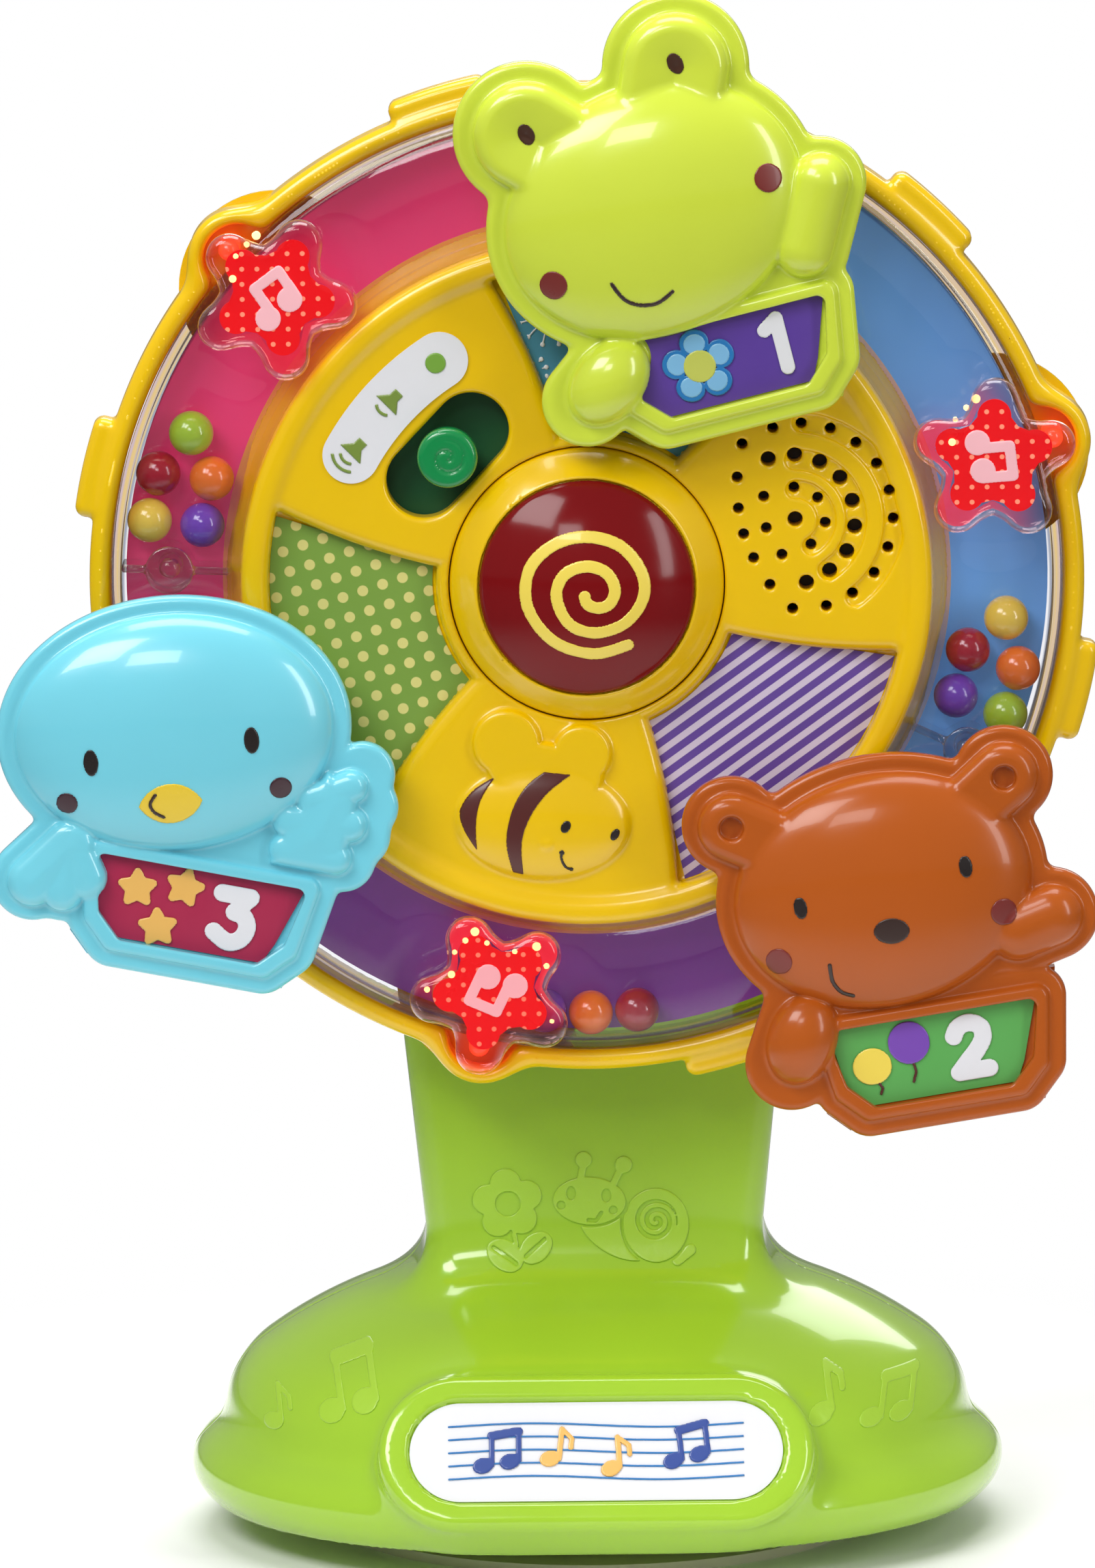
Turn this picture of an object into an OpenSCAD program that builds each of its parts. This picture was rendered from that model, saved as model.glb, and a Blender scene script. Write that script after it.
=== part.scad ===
// Musical activity wheel: a suction-cup stand that carries a spinning wheel with three swinging gondolas.
// Millimetres, +Z up, the front faces -Y. The origin is the middle of the suction rim, on the table.
// Depths named "_f" are measured forward from the middle of the post.

/* [Stand base] */
// Width of the base across its skirt
base_width = 121; // [116:0.5:126]
// Depth of the base across its skirt
base_depth = 100; // [97:0.5:104]
// Height of the middle of the skirt's rounded lip
lip_z = 10; // [9:0.25:11.5]
// Radius of the skirt's rounded lip
lip_r = 5; // [4:0.25:5.5]
// Height at which the dome's wall starts to curve in
shoulder_z = 17; // [16:0.5:19]
// Radius of the dome's shoulder
shoulder_r = 14; // [11:0.5:16]
// Height of the dome's top
dome_z = 41; // [38:0.5:44]
// Wall thickness of the stand's two shells
stand_wall = 2; // [1.6:0.1:2.6]
// Thickness of the plate that closes the base
plate_t = 2.2; // [1.6:0.1:3]
// Gap between the base plate and the skirt
plate_gap = 0.3; // [0.2:0.05:0.5]

/* [Front label] */
// Length of the label on the base
label_w = 54.5; // [48:0.5:60]
// Height of the label on the base
label_h = 15; // [12:0.5:17]
// Width of the raised border round the label
label_border = 4.5; // [3:0.25:6]
// Angle at which the label leans back
label_lean = 29; // [24:0.5:34]
// Distance of the label's middle in front of the base's middle
label_y = 46.5; // [46:0.25:48]
// Height of the label's middle
label_z = 20; // [18:0.5:22]
// Depth of the label's recess
label_recess = 1; // [0.6:0.1:1.4]
// Thickness of a printed sticker or label
sheet_t = 0.3; // [0.2:0.05:0.5]

/* [Post] */
// Width of the post where it leaves the dome
post_w = 48.8; // [44:0.2:52]
// Angle at which each side of the post flares outward
post_flare = 5.8; // [4:0.2:7]
// Front-to-back depth of the post
post_depth = 28; // [26:0.5:32]
// Radius of the post's long edges
post_edge_r = 4; // [3:0.25:6]
// Radius of the concave collar where the dome rises into the post
collar_fillet = 7; // [5:0.5:8.5]
// Radius of the post's round head
post_head_r = 33; // [31:0.5:35]
// Height of the post's head above the axle
post_cover = 12; // [10:0.5:14]

/* [Suction cup] */
// Radius of the suction rim
cup_r = 39; // [35:0.5:41]
// Width of the flat suction rim
cup_rim = 3.5; // [2.5:0.25:5]
// Radius of the cup's neck
cup_neck_r = 8; // [6.5:0.25:9]

/* [Axle] */
// Height of the wheel's axle above the table
wheel_h = 146; // [142:0.5:150]
// Turn of the wheel at rest, seen from the front
wheel_turn = -13.5; // [-60:0.5:60]
// Radius of the axle
axle_r = 4; // [3.5:0.1:4.5]
// Running clearance round the axle, the gondola pins and the button
run_gap = 0.05; // [0.03:0.01:0.09]
// Thickness of the washers on the axle
washer_t = 1; // [0.8:0.1:1.4]

/* [Wheel] */
// Width of the bead track, from the hub face to the rim
track_w = 19.1; // [18.5:0.1:20]
// Width of the yellow rim
rim_w = 3.1; // [2.6:0.1:3.4]
// Front-to-back depth of the yellow rim
rim_depth = 8; // [7:0.25:9]
// Height of the grip pads above the rim
pad_h = 2.8; // [2:0.1:3.5]
// Length of a grip pad round the rim
pad_len = 14.6; // [11:0.2:17]
// Outer radius of the hub face
hub_r = 50.3; // [49.5:0.1:51]
// Width of the raised ring round the hub face
hub_ring_w = 3.6; // [3:0.1:4.2]
// Wall thickness of the wheel's mouldings
wheel_wall = 2; // [1.6:0.1:2.4]
// Step from the back of the hub to the back of the track
track_step = 6; // [5:0.25:7]
// Gap between the coloured track floor and the outer wall of the track
floor_margin = 0.7; // [0.4:0.1:1.2]
// Thickness of the coloured track floor
floor_t = 0.8; // [0.6:0.1:1]
// Wall thickness of the clear track cover
cover_t = 1.2; // [1:0.1:1.4]
// Height of the raised islands above the sticker pockets
island_h = 3; // [2:0.25:3.5]
// Height of the hub's ring above the islands
hub_ring_h = 1; // [0.6:0.1:1.6]

/* [Beads] */
// Diameter of a bead
bead_d = 6.6; // [6:0.1:6.8]
// Free height above a bead in the track
bead_play = 0.6; // [0.4:0.1:1]
// Angle from a star to the dividers that close its stretch of track
divider_angle = 41.3; // [40:0.1:42]
// Radius of a divider's boss
divider_r = 3.5; // [3:0.1:3.8]

/* [Stars] */
// Distance of a star's middle outward from the hub face
star_out = 11.5; // [10.7:0.1:12.1]
// Reach of a star lens from its middle to a tip
star_reach = 11.8; // [11:0.1:12.2]
// Radius of a star lens's rounded tips
star_tip_r = 3.8; // [3.2:0.1:4.2]
// Share of a star's reach at the waist between two tips
star_waist = 0.68; // [0.62:0.01:0.74]
// Height of a star lens above the track cover
star_h = 4.3; // [3:0.1:5]
// Width of the clear border round a star's red print
star_border = 3; // [2.4:0.1:3.4]

/* [Centre button] */
// Radius of the centre button
button_r = 20; // [19:0.25:20.5]
// Height of the button's crown above the sticker pockets
button_h = 12; // [11:0.25:13]
// Radius of the button's dark red disc
disc_r = 15.7; // [13:0.1:17]
// Travel of the button
button_travel = 2.5; // [1.5:0.1:3]
// Sideways gap round the button
button_gap = 0.5; // [0.35:0.05:0.8]

/* [Volume switch] */
// Gap between the button's opening and the switch's slot
slot_margin = 1.6; // [1.2:0.1:2.4]
// Length of the switch's slot
slot_len = 21; // [19:0.5:22]
// Width of the switch's slot
slot_w = 11; // [10:0.25:12]
// Radius of the switch's knob
knob_r = 4.4; // [3.8:0.1:4.6]
// Travel of the switch to each side of the middle
switch_travel = 5; // [4:0.25:5.5]
// Height of the knob above the island
knob_h = 3; // [2:0.25:4]
// Gap between the switch's slot and its printed label
switch_label_gap = 1.85; // [1:0.05:2.4]
// Gap between the switch's printed label and the hub's ring
switch_label_margin = 3.45; // [2.5:0.05:4]
// Angle spanned by the switch's printed label
switch_label_arc = 28; // [24:1:32]

/* [Speaker] */
// Gap between the speaker and the hub's ring
speaker_wall_gap = 0.9; // [0.5:0.1:2]
// Gap between the speaker and the button's opening
speaker_button_gap = 0.4; // [0.3:0.1:2]
// Distance of the grille's middle from the middle of its island, towards the axle
grille_shift = 1.8; // [1.4:0.1:2.6]
// Distance from the middle of the outermost sound hole to the hub's ring
grille_margin = 0.7; // [0.5:0.1:1.3]
// Radius of a large sound hole
sound_hole_r = 1.05; // [0.9:0.05:1.2]
// Radius of a small sound hole
small_hole_r = 0.85; // [0.7:0.05:0.95]

/* [Batteries] */
// Diameter of a battery cell
cell_d = 10.5; // [10:0.1:10.5]
// Length of a battery cell
cell_len = 44.5; // [43:0.5:44.5]

/* [Gondolas] */
// Distance of the gondola pins outward from the middle of the track
pin_shift = 0.15; // [-0.45:0.05:0.75]
// Radius of a gondola pin
pin_r = 3; // [2.5:0.1:3.5]
// Gap between the hub's ring and the backs of the gondolas
gondola_gap = 2; // [1.6:0.1:2.6]
// Thickness of a gondola's back shell
gondola_back_t = 2.5; // [2:0.1:3]
// Thickness of a gondola's front plate
gondola_plate_t = 3; // [2.5:0.1:3.5]
// Width of the plate that shows round the raised forms
gondola_border = 2.6; // [2:0.1:3]
// Height of a head's crown above the plate
head_h = 6.5; // [5:0.25:7.5]
// Turn of the frog at rest
frog_turn = 13.8; // [-45:0.1:45]
// Turn of the bear at rest
bear_turn = 9; // [-45:0.1:45]
// Turn of the bird at rest
bird_turn = -11; // [-45:0.1:45]
// Width of a gondola tray's label at its top
tray_w = 31; // [28:0.5:32]
// Height of a gondola tray's label
tray_h = 12.2; // [11:0.2:13]
// Width of the frame round a gondola tray's label
tray_frame = 4.4; // [3.6:0.1:5]

/* [Hidden] */
$fn = 96;

// Colours of the mouldings
lime = "#8cc63a";
yellow = "#e6b90a";
frog_green = "#bcd63c";
bear_brown = "#b9602e";
bird_blue = "#73cde1";
clear = "#e8eef2";
dark = "#3a3a3e";
metal = "#b8bcc2";

// Room left past a cut so that it runs clear of the faces
over = 1;
// Size of the blocks that halve a shape
big = 400;
// Gap between a screw's shank and its hole
screw_gap = 0.2;
screw_r = 1.2;
screw_head_r = 2.6;
screw_head_t = 1.8;
boss_r = 3.6;

// Stand
base_straight = base_width - base_depth;
skirt_z = lip_z - lip_r;
dome_r = base_depth / 2 - lip_r;
dome_a = dome_r - shoulder_r;
dome_b = dome_z - shoulder_z;
crown_r = (dome_a * dome_a + dome_b * dome_b - shoulder_r * shoulder_r) / (2 * (dome_b - shoulder_r));
crown_z = dome_z - crown_r;
crown_sin = dome_a / (crown_r - shoulder_r);
post_front_f = post_depth / 2;
post_root_z = shoulder_z + shoulder_r / 2;
// The collar's arc runs slightly under the dome's skin, so that the two cross cleanly
collar_sink = 0.15;
collar_at = post_front_f - 0.4 + collar_fillet;
collar_z = crown_z + sqrt(pow(crown_r + collar_fillet, 2) - pow(collar_at, 2)) - collar_sink;
collar_end_r = collar_at * crown_r / (crown_r + collar_fillet);
post_head_z = wheel_h + post_cover - post_head_r;
post_split_z = post_head_z - post_head_r * sin(post_flare);
plate_top_z = skirt_z + plate_t;
// Free room round the front label in its recess
label_play = 0.3;
// Lengths of the screws' shanks, and depth of the stand screws' seats behind the seam
plate_screw_len = 9;
stand_screw_len = 7;
stand_screw_seat = 6;
// Screws that hold the base plate, as [x, y]
plate_screw_at = [for (sx = [-1, 1], sy = [-1, 1]) [sx * base_width * 0.27, sy * base_depth * 0.2]];
// Screws that join the stand's shells, as [x, z]
stand_screw_at = [for (sx = [-1, 1], z = [dome_z + 14, post_split_z - 2 * boss_r]) [sx * post_w * 0.33, z]];

// Depths of the wheel's layers
back_f = post_front_f + washer_t;
inside_f = back_f + wheel_wall;
track_back_f = back_f + track_step;
track_f = track_back_f + wheel_wall;
channel_f = track_f + floor_t;
cover_in_f = channel_f + bead_d + bead_play;
cover_f = cover_in_f + cover_t;
pocket_f = cover_in_f - 1;
plate_in_f = pocket_f - wheel_wall;
island_f = pocket_f + island_h;
hub_top_f = island_f + hub_ring_h;
tab_t = 1;
rim_back_f = track_back_f + tab_t;
rim_front_f = rim_back_f + rim_depth;
bearing_f = track_f;

// Radii of the wheel's layers
seam_gap = 0.2;
rim_in_r = hub_r + track_w;
rim_r = rim_in_r + rim_w;
cover_out_r = rim_in_r - seam_gap;
channel_out_r = cover_out_r - cover_t;
cover_hub_r = hub_r + seam_gap;
channel_in_r = cover_hub_r + cover_t;
hub_wall_r = hub_r - hub_ring_w;
track_r = channel_out_r - floor_margin;
star_at = hub_r + star_out;
pin_at = (channel_in_r + channel_out_r) / 2 + pin_shift;
button_hole_r = button_r + button_gap;
// Width of the islands, from the button's opening to the hub's ring
island_w = hub_wall_r - button_hole_r;
bearing_wall = 5;
retainer_w = 3;
bearing_r = axle_r + bearing_wall;
retainer_r = axle_r + retainer_w;
star_angles = [30, 150, 270];
pin_angles = [90, 210, 330];
speaker_angle = star_angles[0];
switch_angle = star_angles[1];
lobe_r = star_reach + seam_gap + 2.6;
star_pocket_r = star_reach + seam_gap + 0.6;
pad_angle = 30;

// Sticker pockets between the islands, as half angles at the hub's ring and at the button
pocket_outer_angle = 30.5;
pocket_inner_angle = 23;
pocket_in_r = button_r + 2;

// Button
button_top_f = pocket_f + button_h;
button_edge_f = pocket_f + island_h;
button_sphere_r = (button_r * button_r + pow(button_top_f - button_edge_f, 2))
    / (2 * (button_top_f - button_edge_f));
button_sphere_f = button_top_f - button_sphere_r;
disc_t = 0.8;
button_wall = 1.8;
button_tab_r = button_r + button_gap + 1.6;
button_tab_t = 1.4;
button_tab_f = plate_in_f - 0.2;
button_tab_arc = 40;
button_leg = 0.3;
button_skirt_f = pocket_f - 0.6;
button_boss_at = button_r - 5.5;
button_boss_r = 2.2;
button_boss_f = button_tab_f - button_tab_t;
board_f = inside_f + 2;
board_t = 1.6;
board_r = hub_wall_r - 4;
board_low = -15;

// Switch
switch_at = button_hole_r + slot_margin + slot_w / 2;
switch_label_in_r = switch_at + slot_w / 2 + switch_label_gap;
switch_label_out_r = hub_wall_r - switch_label_margin;
switch_label_w = switch_label_out_r - switch_label_in_r;
switch_label_at = (switch_label_in_r + switch_label_out_r) / 2;
slider_f = plate_in_f - 0.2;
slider_t = 1.4;
slider_len = slot_len + 2 * switch_travel + 1;
slider_w = slot_w + 2;
switch_body = [8, 14];

// Speaker and its grille
speaker_r = (island_w - speaker_wall_gap - speaker_button_gap) / 2;
speaker_at = button_hole_r + speaker_button_gap + speaker_r;
speaker_t = 2;
grille_at = button_hole_r + island_w / 2 - grille_shift;
grille_r = hub_wall_r - grille_margin - grille_at;

// Batteries
cell_pitch = cell_d + 0.2;
bay_len = cell_len + 4.5;
bay_w = cell_d + cell_pitch + 0.3;
bay_top = -18;
bay_wall = 1.5;
cell_f = inside_f + cell_d / 2 + 0.1;
door_gap = 0.25;

// Gondolas
gondola_f = hub_top_f + gondola_gap;
gondola_split_f = gondola_f + gondola_back_t;
gondola_plate_f = gondola_split_f + gondola_plate_t;
pin_play = 0.2;
pin_boss_r = pin_r + 2;
pin_collar_r = pin_r + 2;
pin_cap_f = gondola_split_f + pin_play;
pin_cap_t = 1.2;
pin_end_f = pin_cap_f + pin_cap_t;
back_inset = 1;
tray_taper = 4.5;
tray_h_frame = tray_h / 2 + tray_frame;
label_sink = 0.8;
label_gap = 0.4;
hand_sink = 0.6;

// Turns the front of the object towards -Y, with x across, y up and z forward from the post's middle.
module face_on(z) {
    translate([0, 0, z]) rotate([90, 0, 0]) children();
}

// Places what belongs to the wheel, at the wheel's turn at rest.
module on_wheel() {
    face_on(wheel_h) rotate([0, 0, wheel_turn]) children();
}

// Places a shape at a radius and an angle on the wheel, with its own x pointing outward.
module polar(r, a) {
    rotate([0, 0, a]) translate([r, 0, 0]) children();
}

// A turned ring between two radii and two depths.
module ring(r0, r1, f0, f1) {
    rotate_extrude() translate([r0, f0]) square([r1 - r0, f1 - f0]);
}

// A round bar from one depth to another.
module bar(r, f0, f1) {
    translate([0, 0, f0]) cylinder(r = r, h = f1 - f0);
}

// A flat-bottomed spherical cap.
module cap(r, h) {
    cap_r = (r * r + h * h) / (2 * h);
    intersection() {
        translate([0, 0, h - cap_r]) sphere(r = cap_r);
        cylinder(r = r + over, h = h + over);
    }
}

// An oblong with round ends, along x.
module oblong(len, w) {
    square([len - w, w], center = true);
    for (s = [-1, 1]) translate([s * (len - w) / 2, 0]) circle(d = w);
}

// A flat band with round ends from point p to point q.
module strip(p, q, r) {
    d = q - p;
    translate((p + q) / 2) rotate(atan2(d[1], d[0])) oblong(norm(d) + 2 * r, 2 * r);
}

// The upper half of a rod with round ends from point p to point q, with its flat side on z = 0.
module half_rod(p, q, r) {
    d = q - p;
    translate([p[0], p[1], 0]) rotate([0, 90, atan2(d[1], d[0])])
        rotate_extrude(angle = 180, start = 90) intersection() {
            union() {
                square([r, norm(d)]);
                circle(r = r);
                translate([0, norm(d)]) circle(r = r);
            }
            translate([0, -r]) square([r, norm(d) + 2 * r]);
        }
}

// A plump five-pointed star with round tips, one of them along +x.
module star_shape(reach, tip_r) {
    tip_at = reach - tip_r;
    side_r = norm([tip_at, tip_r * 0.94]);
    side_a = atan2(tip_r * 0.94, tip_at);
    waist = reach * star_waist;
    for (a = [0:72:288]) rotate(a) translate([tip_at, 0]) circle(r = tip_r);
    polygon([for (a = [0:72:288]) each [
        side_r * [cos(a - side_a), sin(a - side_a)],
        side_r * [cos(a + side_a), sin(a + side_a)],
        waist * [cos(a + 36), sin(a + 36)]
    ]]);
}

// Half profile of the concave collar on top of the dome.
module collar_profile() {
    low_z = dome_z - shoulder_r / 2;
    difference() {
        translate([0, low_z]) square([collar_end_r, collar_z - low_z]);
        translate([collar_at, collar_z]) circle(r = collar_fillet);
    }
}

// Half profile of the base, from the axis of its round ends outward. An inset gives its hollow.
module base_profile(inset) {
    floor_z = inset > 0 ? -over : skirt_z;
    tangent_r = (crown_r - inset) * crown_sin;
    intersection() {
        translate([0, crown_z]) circle(r = crown_r - inset);
        translate([0, shoulder_z]) square([tangent_r, dome_z]);
    }
    intersection() {
        translate([dome_a, shoulder_z]) circle(r = shoulder_r - inset);
        translate([tangent_r, shoulder_z]) square([dome_r, shoulder_r]);
    }
    translate([0, floor_z]) square([dome_r - inset, shoulder_z - floor_z]);
    intersection() {
        union() {
            translate([dome_r, lip_z]) circle(r = lip_r - inset);
            translate([0, floor_z]) square([dome_r, lip_z + lip_r - inset - floor_z]);
        }
        translate([0, floor_z]) square([base_depth, lip_z + lip_r - floor_z]);
    }
    if (inset == 0) collar_profile();
}

// A half profile carried round an oval plan with straight sides.
module racetrack() {
    for (s = [0, 1])
        translate([(s - 0.5) * base_straight, 0, 0])
            rotate_extrude(angle = 180, start = 90 + 180 * s) children();
    translate([-base_straight / 2, 0, 0]) rotate([90, 0, 90]) linear_extrude(base_straight) {
        children();
        mirror([1, 0]) children();
    }
}

// Cross-section of the post from x = 0 to one rounded side at x = w.
module post_section(w, inset) {
    half = post_front_f - inset;
    edge = post_edge_r - inset;
    translate([0, -half]) square([w - edge, 2 * half]);
    translate([0, edge - half]) square([w, 2 * (half - edge)]);
    for (s = [-1, 1]) translate([w - edge, s * (half - edge)]) circle(r = edge);
}

// One flared side of the post, with everything inside it.
module post_side(inset) {
    translate([post_w / 2 - inset, 0, dome_z]) rotate([0, post_flare, 0])
        translate([-2 * post_w, 0, -dome_z])
            linear_extrude(wheel_h) post_section(2 * post_w, inset);
}

// The post's full form. An inset gives its hollow.
module post_form(inset) {
    intersection() {
        post_side(inset);
        mirror([1, 0, 0]) post_side(inset);
        translate([-post_w, -post_depth, post_root_z - inset])
            cube([2 * post_w, 2 * post_depth, post_split_z - post_root_z + inset]);
    }
    face_on(post_head_z) rotate_extrude() intersection() {
        post_section(post_head_r - inset, inset);
        translate([0, -post_depth]) square([post_depth + post_head_r, 2 * post_depth]);
    }
}

// The stand's full outer form. An inset gives its hollow.
module stand_form(inset) {
    racetrack() base_profile(inset);
    post_form(inset);
}

// Frame of the leaning label: x across, y up the label, z out of it.
module on_label() {
    translate([0, -label_y, label_z]) rotate([90 - label_lean, 0, 0]) children();
}

// The raised panel that carries the label.
module label_panel() {
    w = label_w + 2 * label_border;
    h = label_h + 2 * label_border;
    on_label() hull() {
        translate([0, 0, label_recess - 1]) linear_extrude(1) oblong(w - 2, h - 2, $fn = 48);
        translate([0, 0, -7]) linear_extrude(6) oblong(w, h, $fn = 48);
    }
}

// Upright tubes inside the dome that take the base plate's screws.
module plate_bosses(front) {
    for (p = plate_screw_at)
        if ((p[1] < 0) == front)
            translate([p[0], p[1], plate_top_z]) cylinder(r = boss_r, h = dome_z - plate_top_z);
}

module plate_boss_holes() {
    for (p = plate_screw_at)
        translate([p[0], p[1], plate_top_z - over])
            cylinder(r = screw_r, h = plate_screw_len + 2 * over, $fn = 32);
}

// Places for the screws that join the stand's two shells, with z towards the front.
module at_stand_screws() {
    for (p = stand_screw_at) translate([p[0], 0, p[1]]) rotate([90, 0, 0]) children();
}

module stand_front_shell() {
    front_wall_f = post_front_f - stand_wall / 2;
    color(lime) difference() {
        union() {
            difference() {
                union() {
                    stand_form(0);
                    label_panel();
                }
                stand_form(stand_wall);
                translate([-big / 2, 0, -over]) cube(big);
            }
            intersection() {
                plate_bosses(true);
                stand_form(stand_wall / 2);
            }
            at_stand_screws() bar(boss_r, 0, front_wall_f);
            face_on(wheel_h) bar(bearing_r, post_front_f / 2, front_wall_f);
        }
        plate_boss_holes();
        at_stand_screws() bar(screw_r, -over, stand_screw_len + over, $fn = 32);
        face_on(wheel_h) bar(axle_r + run_gap, 0, post_front_f + over);
        on_label() linear_extrude(label_recess + over)
            oblong(label_w + 2 * label_play, label_h + 2 * label_play);
    }
}

module stand_rear_shell() {
    rear_wall_f = stand_wall / 2 - post_front_f;
    color(lime) difference() {
        union() {
            difference() {
                stand_form(0);
                stand_form(stand_wall);
                translate([-big / 2, -big, -over]) cube(big);
            }
            intersection() {
                plate_bosses(false);
                stand_form(stand_wall / 2);
            }
            at_stand_screws() bar(boss_r, rear_wall_f, 0);
        }
        plate_boss_holes();
        at_stand_screws() {
            bar(screw_r + screw_gap, -post_depth, over, $fn = 32);
            bar(screw_head_r + screw_gap, -post_depth, -stand_screw_seat);
        }
    }
}

module base_plate() {
    color(lime) difference() {
        racetrack() translate([0, skirt_z]) square([dome_r - plate_gap, plate_t]);
        translate([0, 0, skirt_z - over]) cylinder(r = cup_neck_r + plate_gap, h = plate_t + 2 * over);
        for (p = plate_screw_at) translate([p[0], p[1], skirt_z - over]) {
            cylinder(r = screw_r + screw_gap, h = plate_t + 2 * over, $fn = 32);
            cylinder(r = screw_head_r + screw_gap, h = over + plate_t / 2);
        }
    }
}

module base_plate_screws() {
    color(metal) for (p = plate_screw_at) translate([p[0], p[1], skirt_z + 0.1]) {
        cylinder(r = screw_head_r, h = plate_t / 2 - 0.1);
        cylinder(r = screw_r - 0.05, h = plate_screw_len, $fn = 32);
    }
}

module stand_screws() {
    color(metal) at_stand_screws() {
        bar(screw_head_r, -stand_screw_seat - screw_head_t, -stand_screw_seat);
        bar(screw_r - 0.05, -stand_screw_seat, stand_screw_len, $fn = 32);
    }
}

module suction_cup() {
    top_z = skirt_z - 0.1;
    flange_z = plate_top_z + washer_t + 1.2;
    color(clear) rotate_extrude() polygon([
        [0, top_z - 1.8],
        [cup_r - cup_rim, 0],
        [cup_r, 0],
        [cup_r, 1.4],
        [cup_neck_r + 3, top_z],
        [cup_neck_r, top_z],
        [cup_neck_r, flange_z],
        [cup_neck_r + 1.5, flange_z],
        [cup_neck_r + 0.5, flange_z + 2],
        [0, flange_z + 2]
    ]);
}

module suction_cup_retainer() {
    color(dark) ring(cup_neck_r + 0.1, cup_neck_r + 7, plate_top_z, plate_top_z + washer_t + 1.1);
}

module front_label() {
    color("white") on_label() linear_extrude(sheet_t) oblong(label_w, label_h);
}

module axle_shaft() {
    flange_f = post_front_f / 2;
    color(metal) face_on(wheel_h) {
        bar(axle_r + 4, flange_f - 2.5, flange_f);
        bar(axle_r, flange_f, bearing_f + 0.2);
        bar(axle_r - 1, bearing_f, bearing_f + washer_t + 0.2);
    }
}

module axle_washer() {
    color(metal) face_on(wheel_h) ring(axle_r + run_gap, bearing_r, post_front_f, back_f);
}

module axle_retainer() {
    hold_f = bearing_f + 0.2;
    color(metal) face_on(wheel_h) {
        ring(axle_r - 1, retainer_r, hold_f, hold_f + washer_t);
        bar(axle_r, hold_f + washer_t, hold_f + washer_t + screw_head_t);
    }
}

// The battery bay's plan, grown by a margin.
module bay_plan(margin) {
    translate([-bay_len / 2 - margin, bay_top - bay_w - margin])
        square([bay_len + 2 * margin, bay_w + 2 * margin]);
}

// Places for the screws that join the wheel's two halves.
module at_wheel_bosses() {
    for (a = [90, 197, 343]) polar(hub_wall_r - 5, a) children();
}

module wheel_back_shell() {
    color(yellow) on_wheel() difference() {
        union() {
            rotate_extrude() {
                translate([axle_r + run_gap, back_f]) square([hub_r - wheel_wall - axle_r, wheel_wall]);
                translate([axle_r + run_gap, back_f]) square([bearing_r - axle_r, bearing_f - back_f]);
                translate([hub_wall_r, back_f]) square([wheel_wall, track_f - back_f]);
                translate([hub_wall_r, track_back_f]) square([track_r - hub_wall_r, wheel_wall]);
            }
            for (a = star_angles)
                polar(star_at, a) bar(lobe_r - 0.4, track_back_f + 0.2, rim_back_f);
            intersection() {
                translate([0, 0, back_f]) linear_extrude(cell_f - back_f) difference() {
                    bay_plan(bay_wall);
                    bay_plan(0);
                }
                bar(hub_r - 1, back_f, hub_top_f);
            }
            at_wheel_bosses() bar(boss_r, back_f, plate_in_f);
            for (a = [40, 90, 140]) polar(board_r - 8, a) bar(2, back_f, board_f);
        }
        translate([0, 0, back_f - over]) linear_extrude(wheel_wall + 2 * over) bay_plan(0);
        at_wheel_bosses() {
            bar(screw_r + screw_gap, back_f - over, plate_in_f + over, $fn = 32);
            bar(screw_head_r + screw_gap, back_f - over, back_f + screw_head_t + 0.2);
        }
        for (a = pin_angles) polar(pin_at, a) bar(pin_r + run_gap, track_back_f - over, track_f + over);
    }
}

// One pocket between two islands, centred on +x and grown by a margin.
module pocket_plan(margin) {
    outer = pocket_outer_angle;
    inner = pocket_inner_angle;
    far_r = hub_r * 1.1;
    intersection() {
        difference() {
            circle(r = hub_wall_r + margin);
            circle(r = pocket_in_r - margin);
        }
        offset(delta = margin) polygon([
            pocket_in_r * 0.9 * [cos(inner), -sin(inner)],
            far_r * [cos(outer), -sin(outer)],
            [far_r * 1.2, 0],
            far_r * [cos(outer), sin(outer)],
            pocket_in_r * 0.9 * [cos(inner), sin(inner)]
        ]);
    }
}

// Distance from the middle of the grille to a hole of its outer ring: flattened on the side near the button.
function grille_reach(a) = grille_r - 0.45 * grille_r * pow(max(0, -cos(a - 30)), 1.15);

module sound_holes() {
    polar(grille_at, speaker_angle) rotate([0, 0, -speaker_angle]) {
        bar(sound_hole_r, plate_in_f - over, hub_top_f, $fn = 24);
        for (a = [15:60:315])
            rotate([0, 0, a]) translate([grille_r * 0.32, 0, 0])
                bar(small_hole_r, plate_in_f - over, hub_top_f, $fn = 24);
        for (a = [-65:19.5:130])
            rotate([0, 0, a]) translate([grille_r * 0.63, 0, 0])
                bar(sound_hole_r, plate_in_f - over, hub_top_f, $fn = 24);
        for (a = concat([for (i = [0:12]) -75 + 17.5 * i], [158, 183, 209, 235, 261]))
            rotate([0, 0, a]) translate([grille_reach(a), 0, 0])
                bar(small_hole_r, plate_in_f - over, hub_top_f, $fn = 24);
    }
}

// The raised bee: a domed body and two flat wings, drawn to fit the width of its island.
bee_margin = 2.2;
bee_r = island_w * 0.328;
bee_y = bee_margin + bee_r - hub_wall_r;
bee_h = 2.6;
bee_wing_h = 1.2;

module bee_wing(x, y, r) {
    translate([bee_r * x, bee_y + bee_r * y, 0]) bar(bee_r * r, island_f, island_f + bee_wing_h);
}

module bee_relief() {
    translate([bee_r * 0.22, bee_y, island_f]) rotate([0, 0, -3]) scale([1.5, 1, 1]) cap(bee_r, bee_h);
    bee_wing(-0.79, 1.08, 0.57);
    bee_wing(0.49, 1.2, 0.49);
}

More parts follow.
